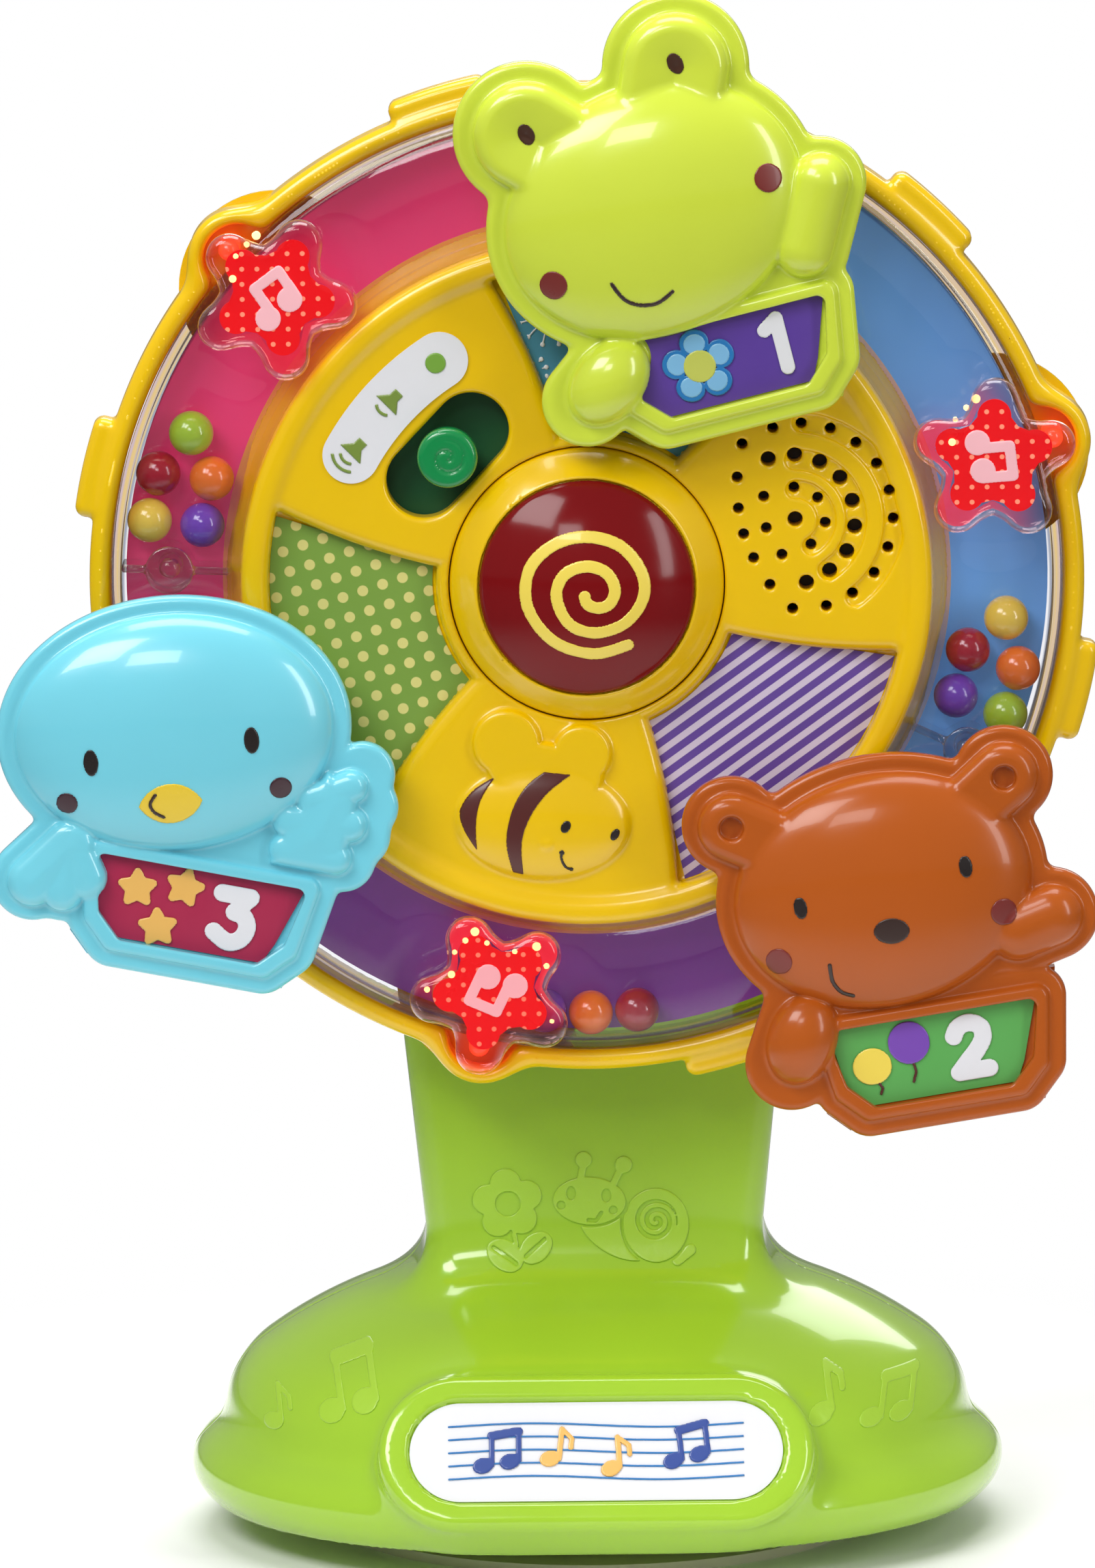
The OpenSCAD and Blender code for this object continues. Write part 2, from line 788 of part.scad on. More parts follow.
module hub_face() {
    ring_mid = hub_r - hub_ring_w / 2;
    ring_f = hub_top_f - hub_ring_w / 2;
    color(yellow) on_wheel() difference() {
        union() {
            rotate_extrude() {
                translate([button_hole_r, plate_in_f])
                    square([island_w + over / 2, island_f - plate_in_f]);
                translate([hub_wall_r, track_f]) square([hub_ring_w, ring_f - track_f]);
                translate([ring_mid, ring_f]) circle(d = hub_ring_w);
            }
            bee_relief();
            at_wheel_bosses() bar(boss_r, plate_in_f, pocket_f);
        }
        for (a = pin_angles)
            rotate([0, 0, a]) translate([0, 0, pocket_f]) linear_extrude(island_h + over) pocket_plan(0);
        polar(switch_at, switch_angle) rotate([0, 0, 90])
            translate([0, 0, plate_in_f - over]) linear_extrude(hub_top_f) oblong(slot_len, slot_w);
        sound_holes();
        at_wheel_bosses() bar(screw_r, plate_in_f - over, plate_in_f + 1.4, $fn = 32);
    }
}

module outer_rim() {
    bead_r = rim_w / 2;
    pad_f = rim_back_f + rim_depth * 0.2;
    pad_sweep = along(pad_len, rim_r);
    color(yellow) on_wheel() difference() {
        union() {
            rotate_extrude() {
                translate([rim_in_r, rim_back_f]) square([rim_w, rim_depth - bead_r]);
                translate([rim_in_r + bead_r, rim_front_f - bead_r]) circle(r = bead_r);
            }
            for (a = star_angles) polar(star_at, a) difference() {
                bar(lobe_r, rim_back_f + 0.4, rim_front_f - 0.6);
                translate([rim_in_r + rim_w / 3 - star_at - big, -big / 2, 0]) cube(big);
            }
            for (a = star_angles, s = [-1, 1])
                rotate([0, 0, a + s * pad_angle - pad_sweep / 2])
                    rotate_extrude(angle = pad_sweep)
                        translate([rim_r - bead_r, pad_f]) square([pad_h + bead_r, rim_depth * 0.7]);
        }
        for (a = star_angles) polar(star_at, a) bar(star_pocket_r, rim_back_f - over, hub_top_f);
    }
}

// The clear posts and ribs that close each stretch of track.
module dividers() {
    rib_in_r = channel_in_r - cover_t / 2;
    rib_out_r = channel_out_r + cover_t / 2;
    for (a = star_angles, s = [-1, 1]) rotate([0, 0, a + s * divider_angle]) {
        translate([pin_at + 0.8, 0, 0]) bar(divider_r, channel_f + 0.3, cover_in_f + 0.1);
        translate([rib_in_r, -0.5, channel_f + 0.3])
            cube([rib_out_r - rib_in_r, 1, cover_in_f - channel_f - 0.2]);
    }
}

module bead_track_cover() {
    color(clear) on_wheel() difference() {
        union() {
            rotate_extrude() {
                translate([cover_hub_r, channel_f]) square([cover_t, cover_f - channel_f]);
                translate([cover_hub_r, cover_in_f]) square([cover_out_r - cover_hub_r, cover_t]);
                translate([channel_out_r, rim_back_f]) square([cover_t, cover_f - rim_back_f]);
            }
            dividers();
        }
        for (a = pin_angles)
            polar(pin_at, a) bar(pin_collar_r + 0.4, channel_f - over, cover_f + over);
    }
}

// One coloured third of the track floor, centred on a star.
module track_floor(a) {
    sweep = 119.6;
    on_wheel() difference() {
        rotate([0, 0, a - sweep / 2]) rotate_extrude(angle = sweep)
            translate([cover_hub_r, track_f]) square([track_r - cover_hub_r, floor_t]);
        for (s = [-1, 1]) polar(pin_at, a + 60 * s) bar(pin_collar_r + 0.3, track_f - over, channel_f + over);
    }
}

module track_floor_red() {
    color("#b01f45") track_floor(star_angles[1]);
}

module track_floor_blue() {
    color("#4f8fd0") track_floor(star_angles[0]);
}

module track_floor_purple() {
    color("#5f2f8c") track_floor(star_angles[2]);
}

module star_lenses() {
    color(clear) on_wheel() for (a = star_angles) polar(star_at, a) difference() {
        translate([0, 0, cover_f]) linear_extrude(star_h) star_shape(star_reach, star_tip_r);
        translate([0, 0, cover_f - over])
            linear_extrude(star_h - cover_t + over)
                star_shape(star_reach - cover_t, star_tip_r - cover_t / 2);
    }
}

module star_prints() {
    color("#d8202c") on_wheel() for (a = star_angles) polar(star_at, a)
        translate([0, 0, cover_f]) linear_extrude(sheet_t)
            star_shape(star_reach - star_border, star_tip_r * 0.65);
}

module star_lamps() {
    lamp_r = 1.5;
    color("#f0402c") on_wheel() for (a = star_angles) polar(rim_in_r + lamp_r, a) {
        bar(lamp_r, rim_back_f, rim_front_f - lamp_r);
        translate([0, 0, rim_front_f - lamp_r]) sphere(r = lamp_r);
    }
}

// A printed sheet that lies in one of the pockets.
module sticker(a) {
    on_wheel() rotate([0, 0, a]) translate([0, 0, pocket_f]) linear_extrude(sheet_t) pocket_plan(-0.5);
}

module sticker_blue() {
    color("#3fa0c8") sticker(pin_angles[0]);
}

module sticker_green() {
    color("#74ad3c") sticker(pin_angles[1]);
}

module sticker_lilac() {
    color("#b9a6dc") sticker(pin_angles[2]);
}

module switch_label() {
    half = switch_label_w / 2;
    color("white") on_wheel() rotate([0, 0, switch_angle]) {
        rotate([0, 0, -switch_label_arc / 2]) rotate_extrude(angle = switch_label_arc)
            translate([switch_label_at - half, island_f]) square([switch_label_w, sheet_t]);
        for (s = [-1, 1])
            polar(switch_label_at, s * switch_label_arc / 2) bar(half, island_f, island_f + sheet_t);
    }
}

module speaker() {
    color(dark) on_wheel() polar(speaker_at, speaker_angle) {
        bar(speaker_r, plate_in_f - speaker_t, plate_in_f);
        bar(speaker_r / 2, board_f + board_t + 0.3, plate_in_f - speaker_t);
    }
}

module circuit_board() {
    top_f = board_f + board_t;
    color("#2f7a44") on_wheel() difference() {
        union() {
            translate([0, 0, board_f]) linear_extrude(board_t) intersection() {
                circle(r = board_r);
                translate([-board_r, board_low]) square(2 * board_r);
            }
            polar(switch_at, switch_angle) translate([-switch_body[0] / 2, -switch_body[1] / 2, board_f])
                cube([switch_body[0], switch_body[1], slider_f - slider_t - board_f]);
        }
        bar(bearing_r + 1.5, board_f - over, top_f + over);
        at_wheel_bosses() bar(boss_r + 0.5, board_f - over, top_f + over);
    }
}

module battery_cells() {
    color("#c9a050") on_wheel() for (i = [0, 1])
        translate([-cell_len / 2, bay_top - 0.15 - cell_d / 2 - i * cell_pitch, cell_f])
            rotate([0, 90, 0]) cylinder(d = cell_d, h = cell_len);
}

module battery_contacts() {
    plate = 0.6;
    color(metal) on_wheel() for (s = [-1, 1])
        translate([s * (bay_len - plate) / 2 - plate / 2, bay_top - bay_w + 1.5, inside_f])
            cube([plate, bay_w - 3, cell_d * 0.4]);
}

module battery_door() {
    color(yellow) on_wheel() difference() {
        translate([0, 0, back_f]) linear_extrude(wheel_wall - 0.4) offset(delta = -door_gap) bay_plan(0);
        translate([0, bay_top - bay_w / 2, 0]) bar(screw_head_r + screw_gap, back_f - over, back_f + 0.8);
    }
}

module battery_door_screw() {
    color(metal) on_wheel() translate([0, bay_top - bay_w / 2, 0]) bar(screw_head_r, back_f, back_f + 0.8);
}

module wheel_screws() {
    head_f = back_f + screw_head_t + 0.2;
    color(metal) on_wheel() at_wheel_bosses() {
        bar(screw_head_r, head_f - screw_head_t, head_f);
        bar(screw_r - 0.05, head_f, plate_in_f + 1.2, $fn = 32);
    }
}

module gondola_pins() {
    color(metal) on_wheel() for (a = pin_angles) polar(pin_at, a) {
        bar(pin_collar_r, track_back_f - 1.5, track_back_f);
        bar(pin_r, track_back_f, pin_cap_f);
        bar(pin_collar_r, track_f, gondola_f - pin_play);
        bar(pin_r - 1, pin_cap_f, pin_end_f);
    }
}

module gondola_pin_caps() {
    color(metal) on_wheel() for (a = pin_angles) polar(pin_at, a)
        ring(pin_r - 1, pin_boss_r, pin_cap_f, pin_end_f);
}

// Half profile of the button's domed shell, with its short skirt and the recess for the disc.
module button_shell_profile() {
    difference() {
        intersection() {
            translate([0, button_sphere_f]) circle(r = button_sphere_r);
            translate([0, button_skirt_f]) square([button_r, button_top_f]);
        }
        intersection() {
            translate([0, button_sphere_f]) circle(r = button_sphere_r - button_wall);
            translate([0, button_skirt_f - over]) square([button_r - button_wall, button_top_f]);
        }
        difference() {
            translate([0, button_edge_f]) square([disc_r + run_gap, button_top_f]);
            translate([0, button_sphere_f]) circle(r = button_sphere_r - disc_t);
        }
    }
}

// Half profile of what lies under the middle of the dome's wall below the disc.
module button_core_profile() {
    intersection() {
        translate([0, button_sphere_f]) circle(r = button_sphere_r - (button_wall + disc_t) / 2);
        translate([0, button_boss_f - over]) square([button_r, button_top_f]);
    }
}

// A tab that hooks under the hub face, with the leg that carries it.
module button_tab_profile() {
    leg_in_r = button_r - button_wall - button_leg;
    leg_out_r = button_r - button_leg;
    translate([leg_in_r, button_boss_f])
        square([leg_out_r - leg_in_r, button_skirt_f - button_boss_f + over]);
    translate([leg_in_r, button_boss_f]) square([button_tab_r - leg_in_r, button_tab_t]);
}

module button_cap() {
    color(yellow) on_wheel() {
        rotate_extrude() button_shell_profile();
        for (a = pin_angles) {
            rotate([0, 0, a - button_tab_arc / 2]) rotate_extrude(angle = button_tab_arc)
                button_tab_profile();
            intersection() {
                polar(button_boss_at, a) bar(button_boss_r, button_boss_f, button_top_f);
                rotate_extrude() button_core_profile();
            }
        }
    }
}

module button_disc() {
    color("#7d1a1f") on_wheel() rotate_extrude() difference() {
        intersection() {
            translate([0, button_sphere_f]) circle(r = button_sphere_r);
            translate([0, button_edge_f]) square([disc_r, button_top_f]);
        }
        translate([0, button_sphere_f]) circle(r = button_sphere_r - disc_t);
    }
}

module button_springs() {
    base_f = board_f + board_t;
    color(dark) on_wheel() for (a = pin_angles) polar(button_boss_at, a) rotate_extrude() polygon([
        [0, base_f],
        [button_boss_r, base_f],
        [button_boss_r, base_f + 1],
        [button_boss_r - 1, button_boss_f - 1],
        [button_boss_r - 0.6, button_boss_f],
        [0, button_boss_f]
    ]);
}

// Frame of the volume switch, with x along its slot.
module on_switch() {
    on_wheel() polar(switch_at, switch_angle) rotate([0, 0, 90]) children();
}

module volume_knob() {
    color("#1f8a4c") on_switch() {
        bar(knob_r - 1, slider_f, island_f);
        bar(knob_r, island_f, island_f + knob_h);
    }
}

module volume_slider() {
    color("#145c33") on_switch() translate([0, 0, slider_f - slider_t]) linear_extrude(slider_t)
        oblong(slider_len, slider_w);
}

// A bead resting on the track floor at a radius and an angle.
module bead(r, a) {
    polar(r, a) translate([0, 0, channel_f + bead_d / 2 + bead_play / 4]) sphere(d = bead_d, $fn = 48);
}

// Angle that a length along the track takes up at a radius.
function along(len, r) = len / r * 180 / PI;

// Five beads heaped against a divider: each is [distance from the axle, angle from the divider].
bead_outer_gap = 0.4;
bead_inner_gap = 1.6;
bead_outer_at = channel_out_r - bead_d / 2 - bead_outer_gap;
bead_inner_at = channel_in_r + bead_d / 2 + bead_inner_gap;
bead_top_at = (bead_outer_at + bead_inner_at) / 2 + 1;
bead_step = bead_d + 0.4;
bead_row = divider_r + bead_d / 2;
bead_heap = [
    [bead_outer_at, along(bead_row, bead_outer_at)],
    [bead_inner_at, along(bead_row - 0.5, bead_inner_at)],
    [bead_outer_at, along(bead_row + bead_step, bead_outer_at)],
    [bead_inner_at, along(bead_row - 0.5 + bead_step, bead_inner_at)],
    [bead_top_at, along(bead_row + bead_step * 1.9, bead_top_at)]
];

module beads_red() {
    color("#e8a030") on_wheel() for (b = bead_heap) bead(b[0], star_angles[1] + divider_angle - b[1]);
}

module beads_blue() {
    color("#e8a030") on_wheel() for (b = bead_heap) bead(b[0], star_angles[0] - divider_angle + b[1]);
}

module beads_purple() {
    color("#e8a030") on_wheel() for (i = [0:4])
        bead(bead_outer_at, star_angles[2] - 4.8 + along(bead_d + 0.2, bead_outer_at) * i);
}

// Places a gondola on its pin, upright on the wheel at rest and turned by its own angle.
module on_pin(i, turn) {
    on_wheel() polar(pin_at, pin_angles[i]) rotate([0, 0, turn - wheel_turn - pin_angles[i]]) children();
}

// The label's plan on a gondola's tray, grown by a margin.
module tray_plan(margin) {
    top = tray_h / 2 + margin;
    wide = tray_w / 2 + margin;
    narrow = wide - tray_taper;
    polygon([
        [-wide, top],
        [-wide + tray_taper / 3, 3 - top],
        [-narrow, -top],
        [narrow, -top],
        [narrow + tray_taper / 3, 3 - top],
        [wide, top]
    ]);
}

// An oval head outline grown by a margin.
module head_plan(size, margin) {
    scale([size[0] + margin, size[1] + margin]) circle(r = 1);
}

// A domed oval head that stands on the plate.
module head_dome(size) {
    scale([1, size[1] / size[0], 1]) cap(size[0], head_h);
}

// Sizes and places of each animal's forms, upright and measured from its pin.
frog_head = [22.2, 18];
frog_head_at = [-4.4, -1.8];
frog_head_turn = 11;
frog_eyes = [[3.9, 17.4], [-19.4, 13.2]];
frog_eye_r = 8;
frog_hands = [[[20, -4], [15.4, -12.5]], [[-14.1, -21.6], [-20.5, -26.5]]];
frog_hand_r = 4;
frog_tray_at = [1, -25.7];

bear_head = [21.8, 17.1];
bear_head_at = [-1.5, -2.6];
bear_head_turn = 4;
bear_ears = [[-21.6, 10.2], [18.6, 11]];
bear_ear_r = 4.6;
bear_ear_hole_r = 2.1;
bear_hands = [[[15, -12], [22.2, -10.4]], [[-15, -18.9], [-18.7, -26]]];
bear_hand_r = 4.2;
bear_tray_at = [2.5, -28];

bird_head = [23.2, 17.2];
bird_head_at = [-2, -3.2];
bird_head_turn = 15;
bird_wing = [[-13.8, -22.2], [-18.4, -28.4]];
bird_wing_r = 3.4;
bird_wing_tips = [[-13.9, -28.9], [-10.9, -26.6]];
bird_fan = [[16, -12], [22.6, -11.2]];
bird_fan_r = 6;
bird_fan_tips = [[26, -4.6], [27.3, -9.2], [26.9, -13.6], [25.4, -17.4]];
bird_tip_r = 2.2;
bird_tray_at = [5.6, -28.6];

// Outline of each animal's plate, grown by a margin.
module frog_plan(margin) {
    translate(frog_head_at) rotate(frog_head_turn) head_plan(frog_head, margin);
    for (p = frog_eyes) {
        strip(p, frog_head_at, frog_eye_r + margin - 0.6);
        translate(p) circle(r = frog_eye_r + margin);
    }
    for (h = frog_hands) strip(h[0], h[1], frog_hand_r + margin);
    translate(frog_tray_at) tray_plan(tray_frame - gondola_border + margin);
}

module bear_plan(margin) {
    translate(bear_head_at) rotate(bear_head_turn) head_plan(bear_head, margin);
    for (p = bear_ears) translate(p) circle(r = bear_ear_r + margin);
    for (h = bear_hands) strip(h[0], h[1], bear_hand_r + margin);
    translate(bear_tray_at) tray_plan(tray_frame - gondola_border + margin);
}

module bird_plan(margin) {
    translate(bird_head_at) rotate(bird_head_turn) head_plan(bird_head, margin);
    strip(bird_wing[0], bird_wing[1], bird_wing_r + margin);
    strip(bird_fan[0], bird_fan[1], bird_fan_r + margin);
    for (p = concat(bird_wing_tips, bird_fan_tips)) translate(p) circle(r = bird_tip_r + margin);
    translate(bird_tray_at) tray_plan(tray_frame - gondola_border + margin);
}

// A raised hand or wing: half a round-ended rod, a little sunk in the plate.
module hand(ends, r) {
    translate([0, 0, gondola_plate_f - hand_sink]) half_rod(ends[0], ends[1], r);
}

// The tray's raised frame, standing on the plate.
module tray_frame_form(at) {
    translate([at[0], at[1], gondola_split_f]) linear_extrude(gondola_plate_t + 1.2) difference() {
        tray_plan(tray_frame - gondola_border);
        tray_plan(0);
    }
}

// Plan of each tray's label, grown by a margin and cut away round what overlaps the tray.
module frog_label_plan(margin) {
    difference() {
        translate(frog_tray_at) tray_plan(margin);
        translate(frog_head_at) rotate(frog_head_turn) head_plan(frog_head, -margin);
        for (h = frog_hands) strip(h[0], h[1], frog_hand_r - margin);
    }
}

module bear_label_plan(margin) {
    difference() {
        translate(bear_tray_at) tray_plan(margin);
        translate(bear_head_at) rotate(bear_head_turn) head_plan(bear_head, -margin);
        for (h = bear_hands) strip(h[0], h[1], bear_hand_r - margin);
    }
}

module bird_label_plan(margin) {
    difference() {
        translate(bird_tray_at) tray_plan(margin);
        translate(bird_head_at) rotate(bird_head_turn) head_plan(bird_head, -margin);
        strip(bird_wing[0], bird_wing[1], bird_wing_r - margin);
        strip(bird_fan[0], bird_fan[1], bird_fan_r - 2 - margin);
        for (p = bird_wing_tips) translate(p) circle(r = bird_tip_r - margin);
    }
}

// Recess that takes a tray's label, cut from a plan.
module label_recess_cut() {
    translate([0, 0, gondola_plate_f - label_sink]) linear_extrude(head_h + gondola_plate_t) children();
}

// A printed label lying in its recess, cut from a plan.
module label_sheet() {
    translate([0, 0, gondola_plate_f - label_sink]) linear_extrude(sheet_t) children();
}

// Pocket in a gondola's front for the end of its pin.
module pin_pocket() {
    bar(pin_boss_r + 0.6, gondola_split_f - over, pin_end_f + 0.5);
}

module pin_bore() {
    bar(pin_r + run_gap, gondola_f - over, gondola_split_f + over);
}

module frog_front_shell() {
    color(frog_green) on_pin(0, frog_turn) difference() {
        union() {
            translate([0, 0, gondola_split_f]) linear_extrude(gondola_plate_t) frog_plan(gondola_border);
            translate([frog_head_at[0], frog_head_at[1], gondola_plate_f])
                rotate([0, 0, frog_head_turn]) head_dome(frog_head);
            for (p = frog_eyes)
                translate([p[0], p[1], gondola_plate_f]) cap(frog_eye_r, head_h * 0.6);
            for (h = frog_hands) hand(h, frog_hand_r);
            tray_frame_form(frog_tray_at);
        }
        label_recess_cut() frog_label_plan(label_gap / 2);
        pin_pocket();
    }
}

module frog_back_shell() {
    color(frog_green) on_pin(0, frog_turn) difference() {
        translate([0, 0, gondola_f]) linear_extrude(gondola_back_t) frog_plan(gondola_border - back_inset);
        pin_bore();
    }
}

module frog_label() {
    color("#5b2f92") on_pin(0, frog_turn) label_sheet() frog_label_plan(-label_gap / 2);
}

module bear_front_shell() {
    color(bear_brown) on_pin(2, bear_turn) difference() {
        union() {
            translate([0, 0, gondola_split_f]) linear_extrude(gondola_plate_t) bear_plan(gondola_border);
            translate([bear_head_at[0], bear_head_at[1], gondola_plate_f])
                rotate([0, 0, bear_head_turn]) head_dome(bear_head);
            for (p = bear_ears) translate([p[0], p[1], gondola_plate_f]) cap(bear_ear_r, 2);
            for (h = bear_hands) hand(h, bear_hand_r);
            tray_frame_form(bear_tray_at);
        }
        label_recess_cut() bear_label_plan(label_gap / 2);
        pin_pocket();
        for (p = bear_ears)
            translate([p[0], p[1], 0]) bar(bear_ear_hole_r, gondola_plate_f, gondola_plate_f + head_h);
    }
}

module bear_back_shell() {
    color(bear_brown) on_pin(2, bear_turn) difference() {
        translate([0, 0, gondola_f]) linear_extrude(gondola_back_t) bear_plan(gondola_border - back_inset);
        pin_bore();
    }
}

module bear_label() {
    color("#4fa04a") on_pin(2, bear_turn) label_sheet() bear_label_plan(-label_gap / 2);
}

module bird_front_shell() {
    color(bird_blue) on_pin(1, bird_turn) difference() {
        union() {
            translate([0, 0, gondola_split_f]) linear_extrude(gondola_plate_t) bird_plan(gondola_border);
            translate([bird_head_at[0], bird_head_at[1], gondola_plate_f])
                rotate([0, 0, bird_head_turn]) head_dome(bird_head);
            hand(bird_wing, bird_wing_r);
            hand(bird_fan, bird_fan_r - 2);
            for (p = concat(bird_wing_tips, bird_fan_tips))
                translate([p[0], p[1], gondola_plate_f]) cap(bird_tip_r, 1.2);
            tray_frame_form(bird_tray_at);
        }
        label_recess_cut() bird_label_plan(label_gap / 2);
        pin_pocket();
    }
}

module bird_back_shell() {
    color(bird_blue) on_pin(1, bird_turn) difference() {
        translate([0, 0, gondola_f]) linear_extrude(gondola_back_t) bird_plan(gondola_border - back_inset);
        pin_bore();
    }
}

module bird_label() {
    color("#a51e46") on_pin(1, bird_turn) label_sheet() bird_label_plan(-label_gap / 2);
}

stand_front_shell();
stand_rear_shell();
base_plate();
base_plate_screws();
stand_screws();
suction_cup();
suction_cup_retainer();
front_label();
axle_shaft();
axle_washer();
axle_retainer();
wheel_back_shell();
hub_face();
outer_rim();
bead_track_cover();
track_floor_red();
track_floor_blue();
track_floor_purple();
star_lenses();
star_prints();
star_lamps();
sticker_blue();
sticker_green();
sticker_lilac();
switch_label();
speaker();
circuit_board();
battery_cells();
battery_contacts();
battery_door();
battery_door_screw();
wheel_screws();
gondola_pins();
gondola_pin_caps();
button_cap();
button_disc();
button_springs();
volume_knob();
volume_slider();
beads_red();
beads_blue();
beads_purple();
frog_front_shell();
frog_back_shell();
frog_label();
bear_front_shell();
bear_back_shell();
bear_label();
bird_front_shell();
bird_back_shell();
bird_label();
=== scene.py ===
"""Looks of the musical activity wheel: smooth moulded forms, prints, clear parts, studio light and camera.

Lengths in this file are millimetres in the CAD's frame, and become metres when a mesh is made.
"""

import math

import bpy
import numpy as np
from mathutils import Matrix, Vector


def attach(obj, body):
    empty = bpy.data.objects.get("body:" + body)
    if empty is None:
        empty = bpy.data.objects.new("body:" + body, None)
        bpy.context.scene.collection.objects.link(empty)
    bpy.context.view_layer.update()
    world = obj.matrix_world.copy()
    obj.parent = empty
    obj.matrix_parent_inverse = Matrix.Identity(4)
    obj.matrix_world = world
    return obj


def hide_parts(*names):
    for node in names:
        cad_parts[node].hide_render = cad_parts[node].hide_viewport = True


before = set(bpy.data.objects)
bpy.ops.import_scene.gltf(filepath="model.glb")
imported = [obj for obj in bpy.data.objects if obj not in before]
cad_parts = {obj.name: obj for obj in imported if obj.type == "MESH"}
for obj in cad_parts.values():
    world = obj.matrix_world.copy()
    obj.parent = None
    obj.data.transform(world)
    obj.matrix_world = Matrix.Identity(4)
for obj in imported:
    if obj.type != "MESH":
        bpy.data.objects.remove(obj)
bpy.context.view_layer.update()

MM = 0.001
WHEEL_H = 146.0
WHEEL_TURN = -13.5
STAR_ANGLES, LIT_STAR = (30, 150, 270), 270
PIN_ANGLES = {"frog": 90, "bird": 210, "bear": 330}
GONDOLA_TURN = {"frog": 13.8, "bird": -11.0, "bear": 9.0}
PIN_AT, COLLAR_R = 60.0, 5.0
DIVIDER_ANGLE, DIVIDER_R = 41.3, 3.5
STAR_AT, LOBE_AT = 61.8, 69.2
BALL_F, BALL_R = 15.28, 26.72

# Depths in front of the post's middle, as in the CAD
POCKET_F, ISLAND_F, HUB_TOP_F = 30.0, 33.0, 34.0
COVER_F, CHANNEL_F = 32.2, 23.8
SPLIT_F, PLATE_F, LABEL_F = 38.5, 41.5, 40.7


# Distances: each takes arrays and gives a signed distance, negative inside

def polar(r, degrees):
    return r * math.cos(math.radians(degrees)), r * math.sin(math.radians(degrees))


def circle(x, y, at, r):
    return np.hypot(x - at[0], y - at[1]) - r


def capsule(x, y, p, q, r):
    """A band with round ends from p to q."""
    px, py, dx, dy = x - p[0], y - p[1], q[0] - p[0], q[1] - p[1]
    t = np.clip((px * dx + py * dy) / (dx * dx + dy * dy), 0, 1)
    return np.hypot(px - t * dx, py - t * dy) - r


def path(x, y, points, r):
    """A round-ended stroke through several points."""
    return union(*(capsule(x, y, p, q, r) for p, q in zip(points, points[1:])))


def through(points, parts=5):
    """A smooth line through points."""
    ends = [points[0]] + list(points) + [points[-1]]
    out = []
    for a, b, c, d in zip(ends, ends[1:], ends[2:], ends[3:]):
        for i in range(parts):
            t = i / parts
            out.append(tuple(0.5 * (2 * q + (r - p) * t + (2 * p - 5 * q + 4 * r - s) * t * t
                                    + (3 * q - p - 3 * r + s) * t ** 3) for p, q, r, s in zip(a, b, c, d)))
    return out + [points[-1]]


def turned(x, y, at, degrees):
    """Coordinates seen from a frame at a point, turned by an angle."""
    c, s = polar(1, degrees)
    x, y = x - at[0], y - at[1]
    return c * x + s * y, c * y - s * x


def oval(x, y, at, size, degrees=0):
    x, y = turned(x, y, at, degrees)
    near = np.hypot(x / size[0], y / size[1])
    return near * (near - 1) / np.maximum(np.hypot(x / size[0] ** 2, y / size[1] ** 2), 1e-6)


def arc(x, y, at, reach, first, last, r):
    """A round-ended stroke along part of a circle."""
    half = math.radians(last - first) / 2
    u, v = turned(x, y, at, (first + last) / 2)
    v = np.abs(v)
    tip = np.hypot(u - reach * math.cos(half), v - reach * math.sin(half))
    return np.where(np.arctan2(v, u) < half, np.abs(np.hypot(u, v) - reach), tip) - r


def dome(x, y, z, at, size, height, base, degrees=0):
    """An oval dome that stands on a plane, with upright sides at its foot."""
    x, y = turned(x, y, at, degrees)
    z = z - base
    near = np.sqrt((x / size[0]) ** 2 + (y / size[1]) ** 2 + (z / height) ** 2)
    slope = np.sqrt((x / size[0] ** 2) ** 2 + (y / size[1] ** 2) ** 2 + (z / height ** 2) ** 2)
    return near * (near - 1) / np.maximum(slope, 1e-6)


def polygon(x, y, points):
    """A closed outline through points."""
    x, y = np.broadcast_arrays(x, y)
    best, side = np.full(x.shape, 1e9), np.ones(x.shape)
    for (ax, ay), (bx, by) in zip(points, list(points[1:]) + [points[0]]):
        ex, ey, wx, wy = bx - ax, by - ay, x - ax, y - ay
        t = np.clip((wx * ex + wy * ey) / (ex * ex + ey * ey), 0, 1)
        best = np.minimum(best, (wx - t * ex) ** 2 + (wy - t * ey) ** 2)
        above, below, left = y >= ay, y < by, ex * wy > ey * wx
        side = np.where((above & below & left) | (~above & ~below & ~left), -side, side)
    return side * np.sqrt(best)


def plump_star(x, y, at, degrees, reach=12.2, tip_r=3.5, core=7.5):
    """A five-lobed star with round lobes and round valleys."""
    u, v = turned(x, y, at, degrees)
    a = np.mod(np.arctan2(v, u) + math.pi / 5, math.pi * 0.4) - math.pi / 5
    d = np.hypot(u, v)
    return blend(d - core, capsule(d * np.cos(a), d * np.sin(a), (0, 0), (reach - tip_r, 0), tip_r), 3.0)


def star(x, y, at, reach, tip_r, waist, degrees=0):
    """A five-pointed star with round tips, one of them along the given angle."""
    x, y = turned(x, y, at, degrees)
    points = []
    for i in range(10):
        points.append(polar(reach - tip_r if i % 2 == 0 else waist * reach - tip_r, 36 * i))
    return polygon(x, y, points) - tip_r


def union(*fields):
    out = fields[0]
    for f in fields[1:]:
        out = np.minimum(out, f)
    return out


def overlap(*fields):
    """Where all the fields overlap."""
    out = fields[0]
    for f in fields[1:]:
        out = np.maximum(out, f)
    return out


def blend(a, b, k):
    """Union with a fillet about k wide."""
    h = np.clip(0.5 + 0.5 * (b - a) / k, 0, 1)
    return b + (a - b) * h - k * h * (1 - h)


def carve(a, b, k=0.3):
    """a without b, with a rounded edge."""
    return -blend(-a, b, k)


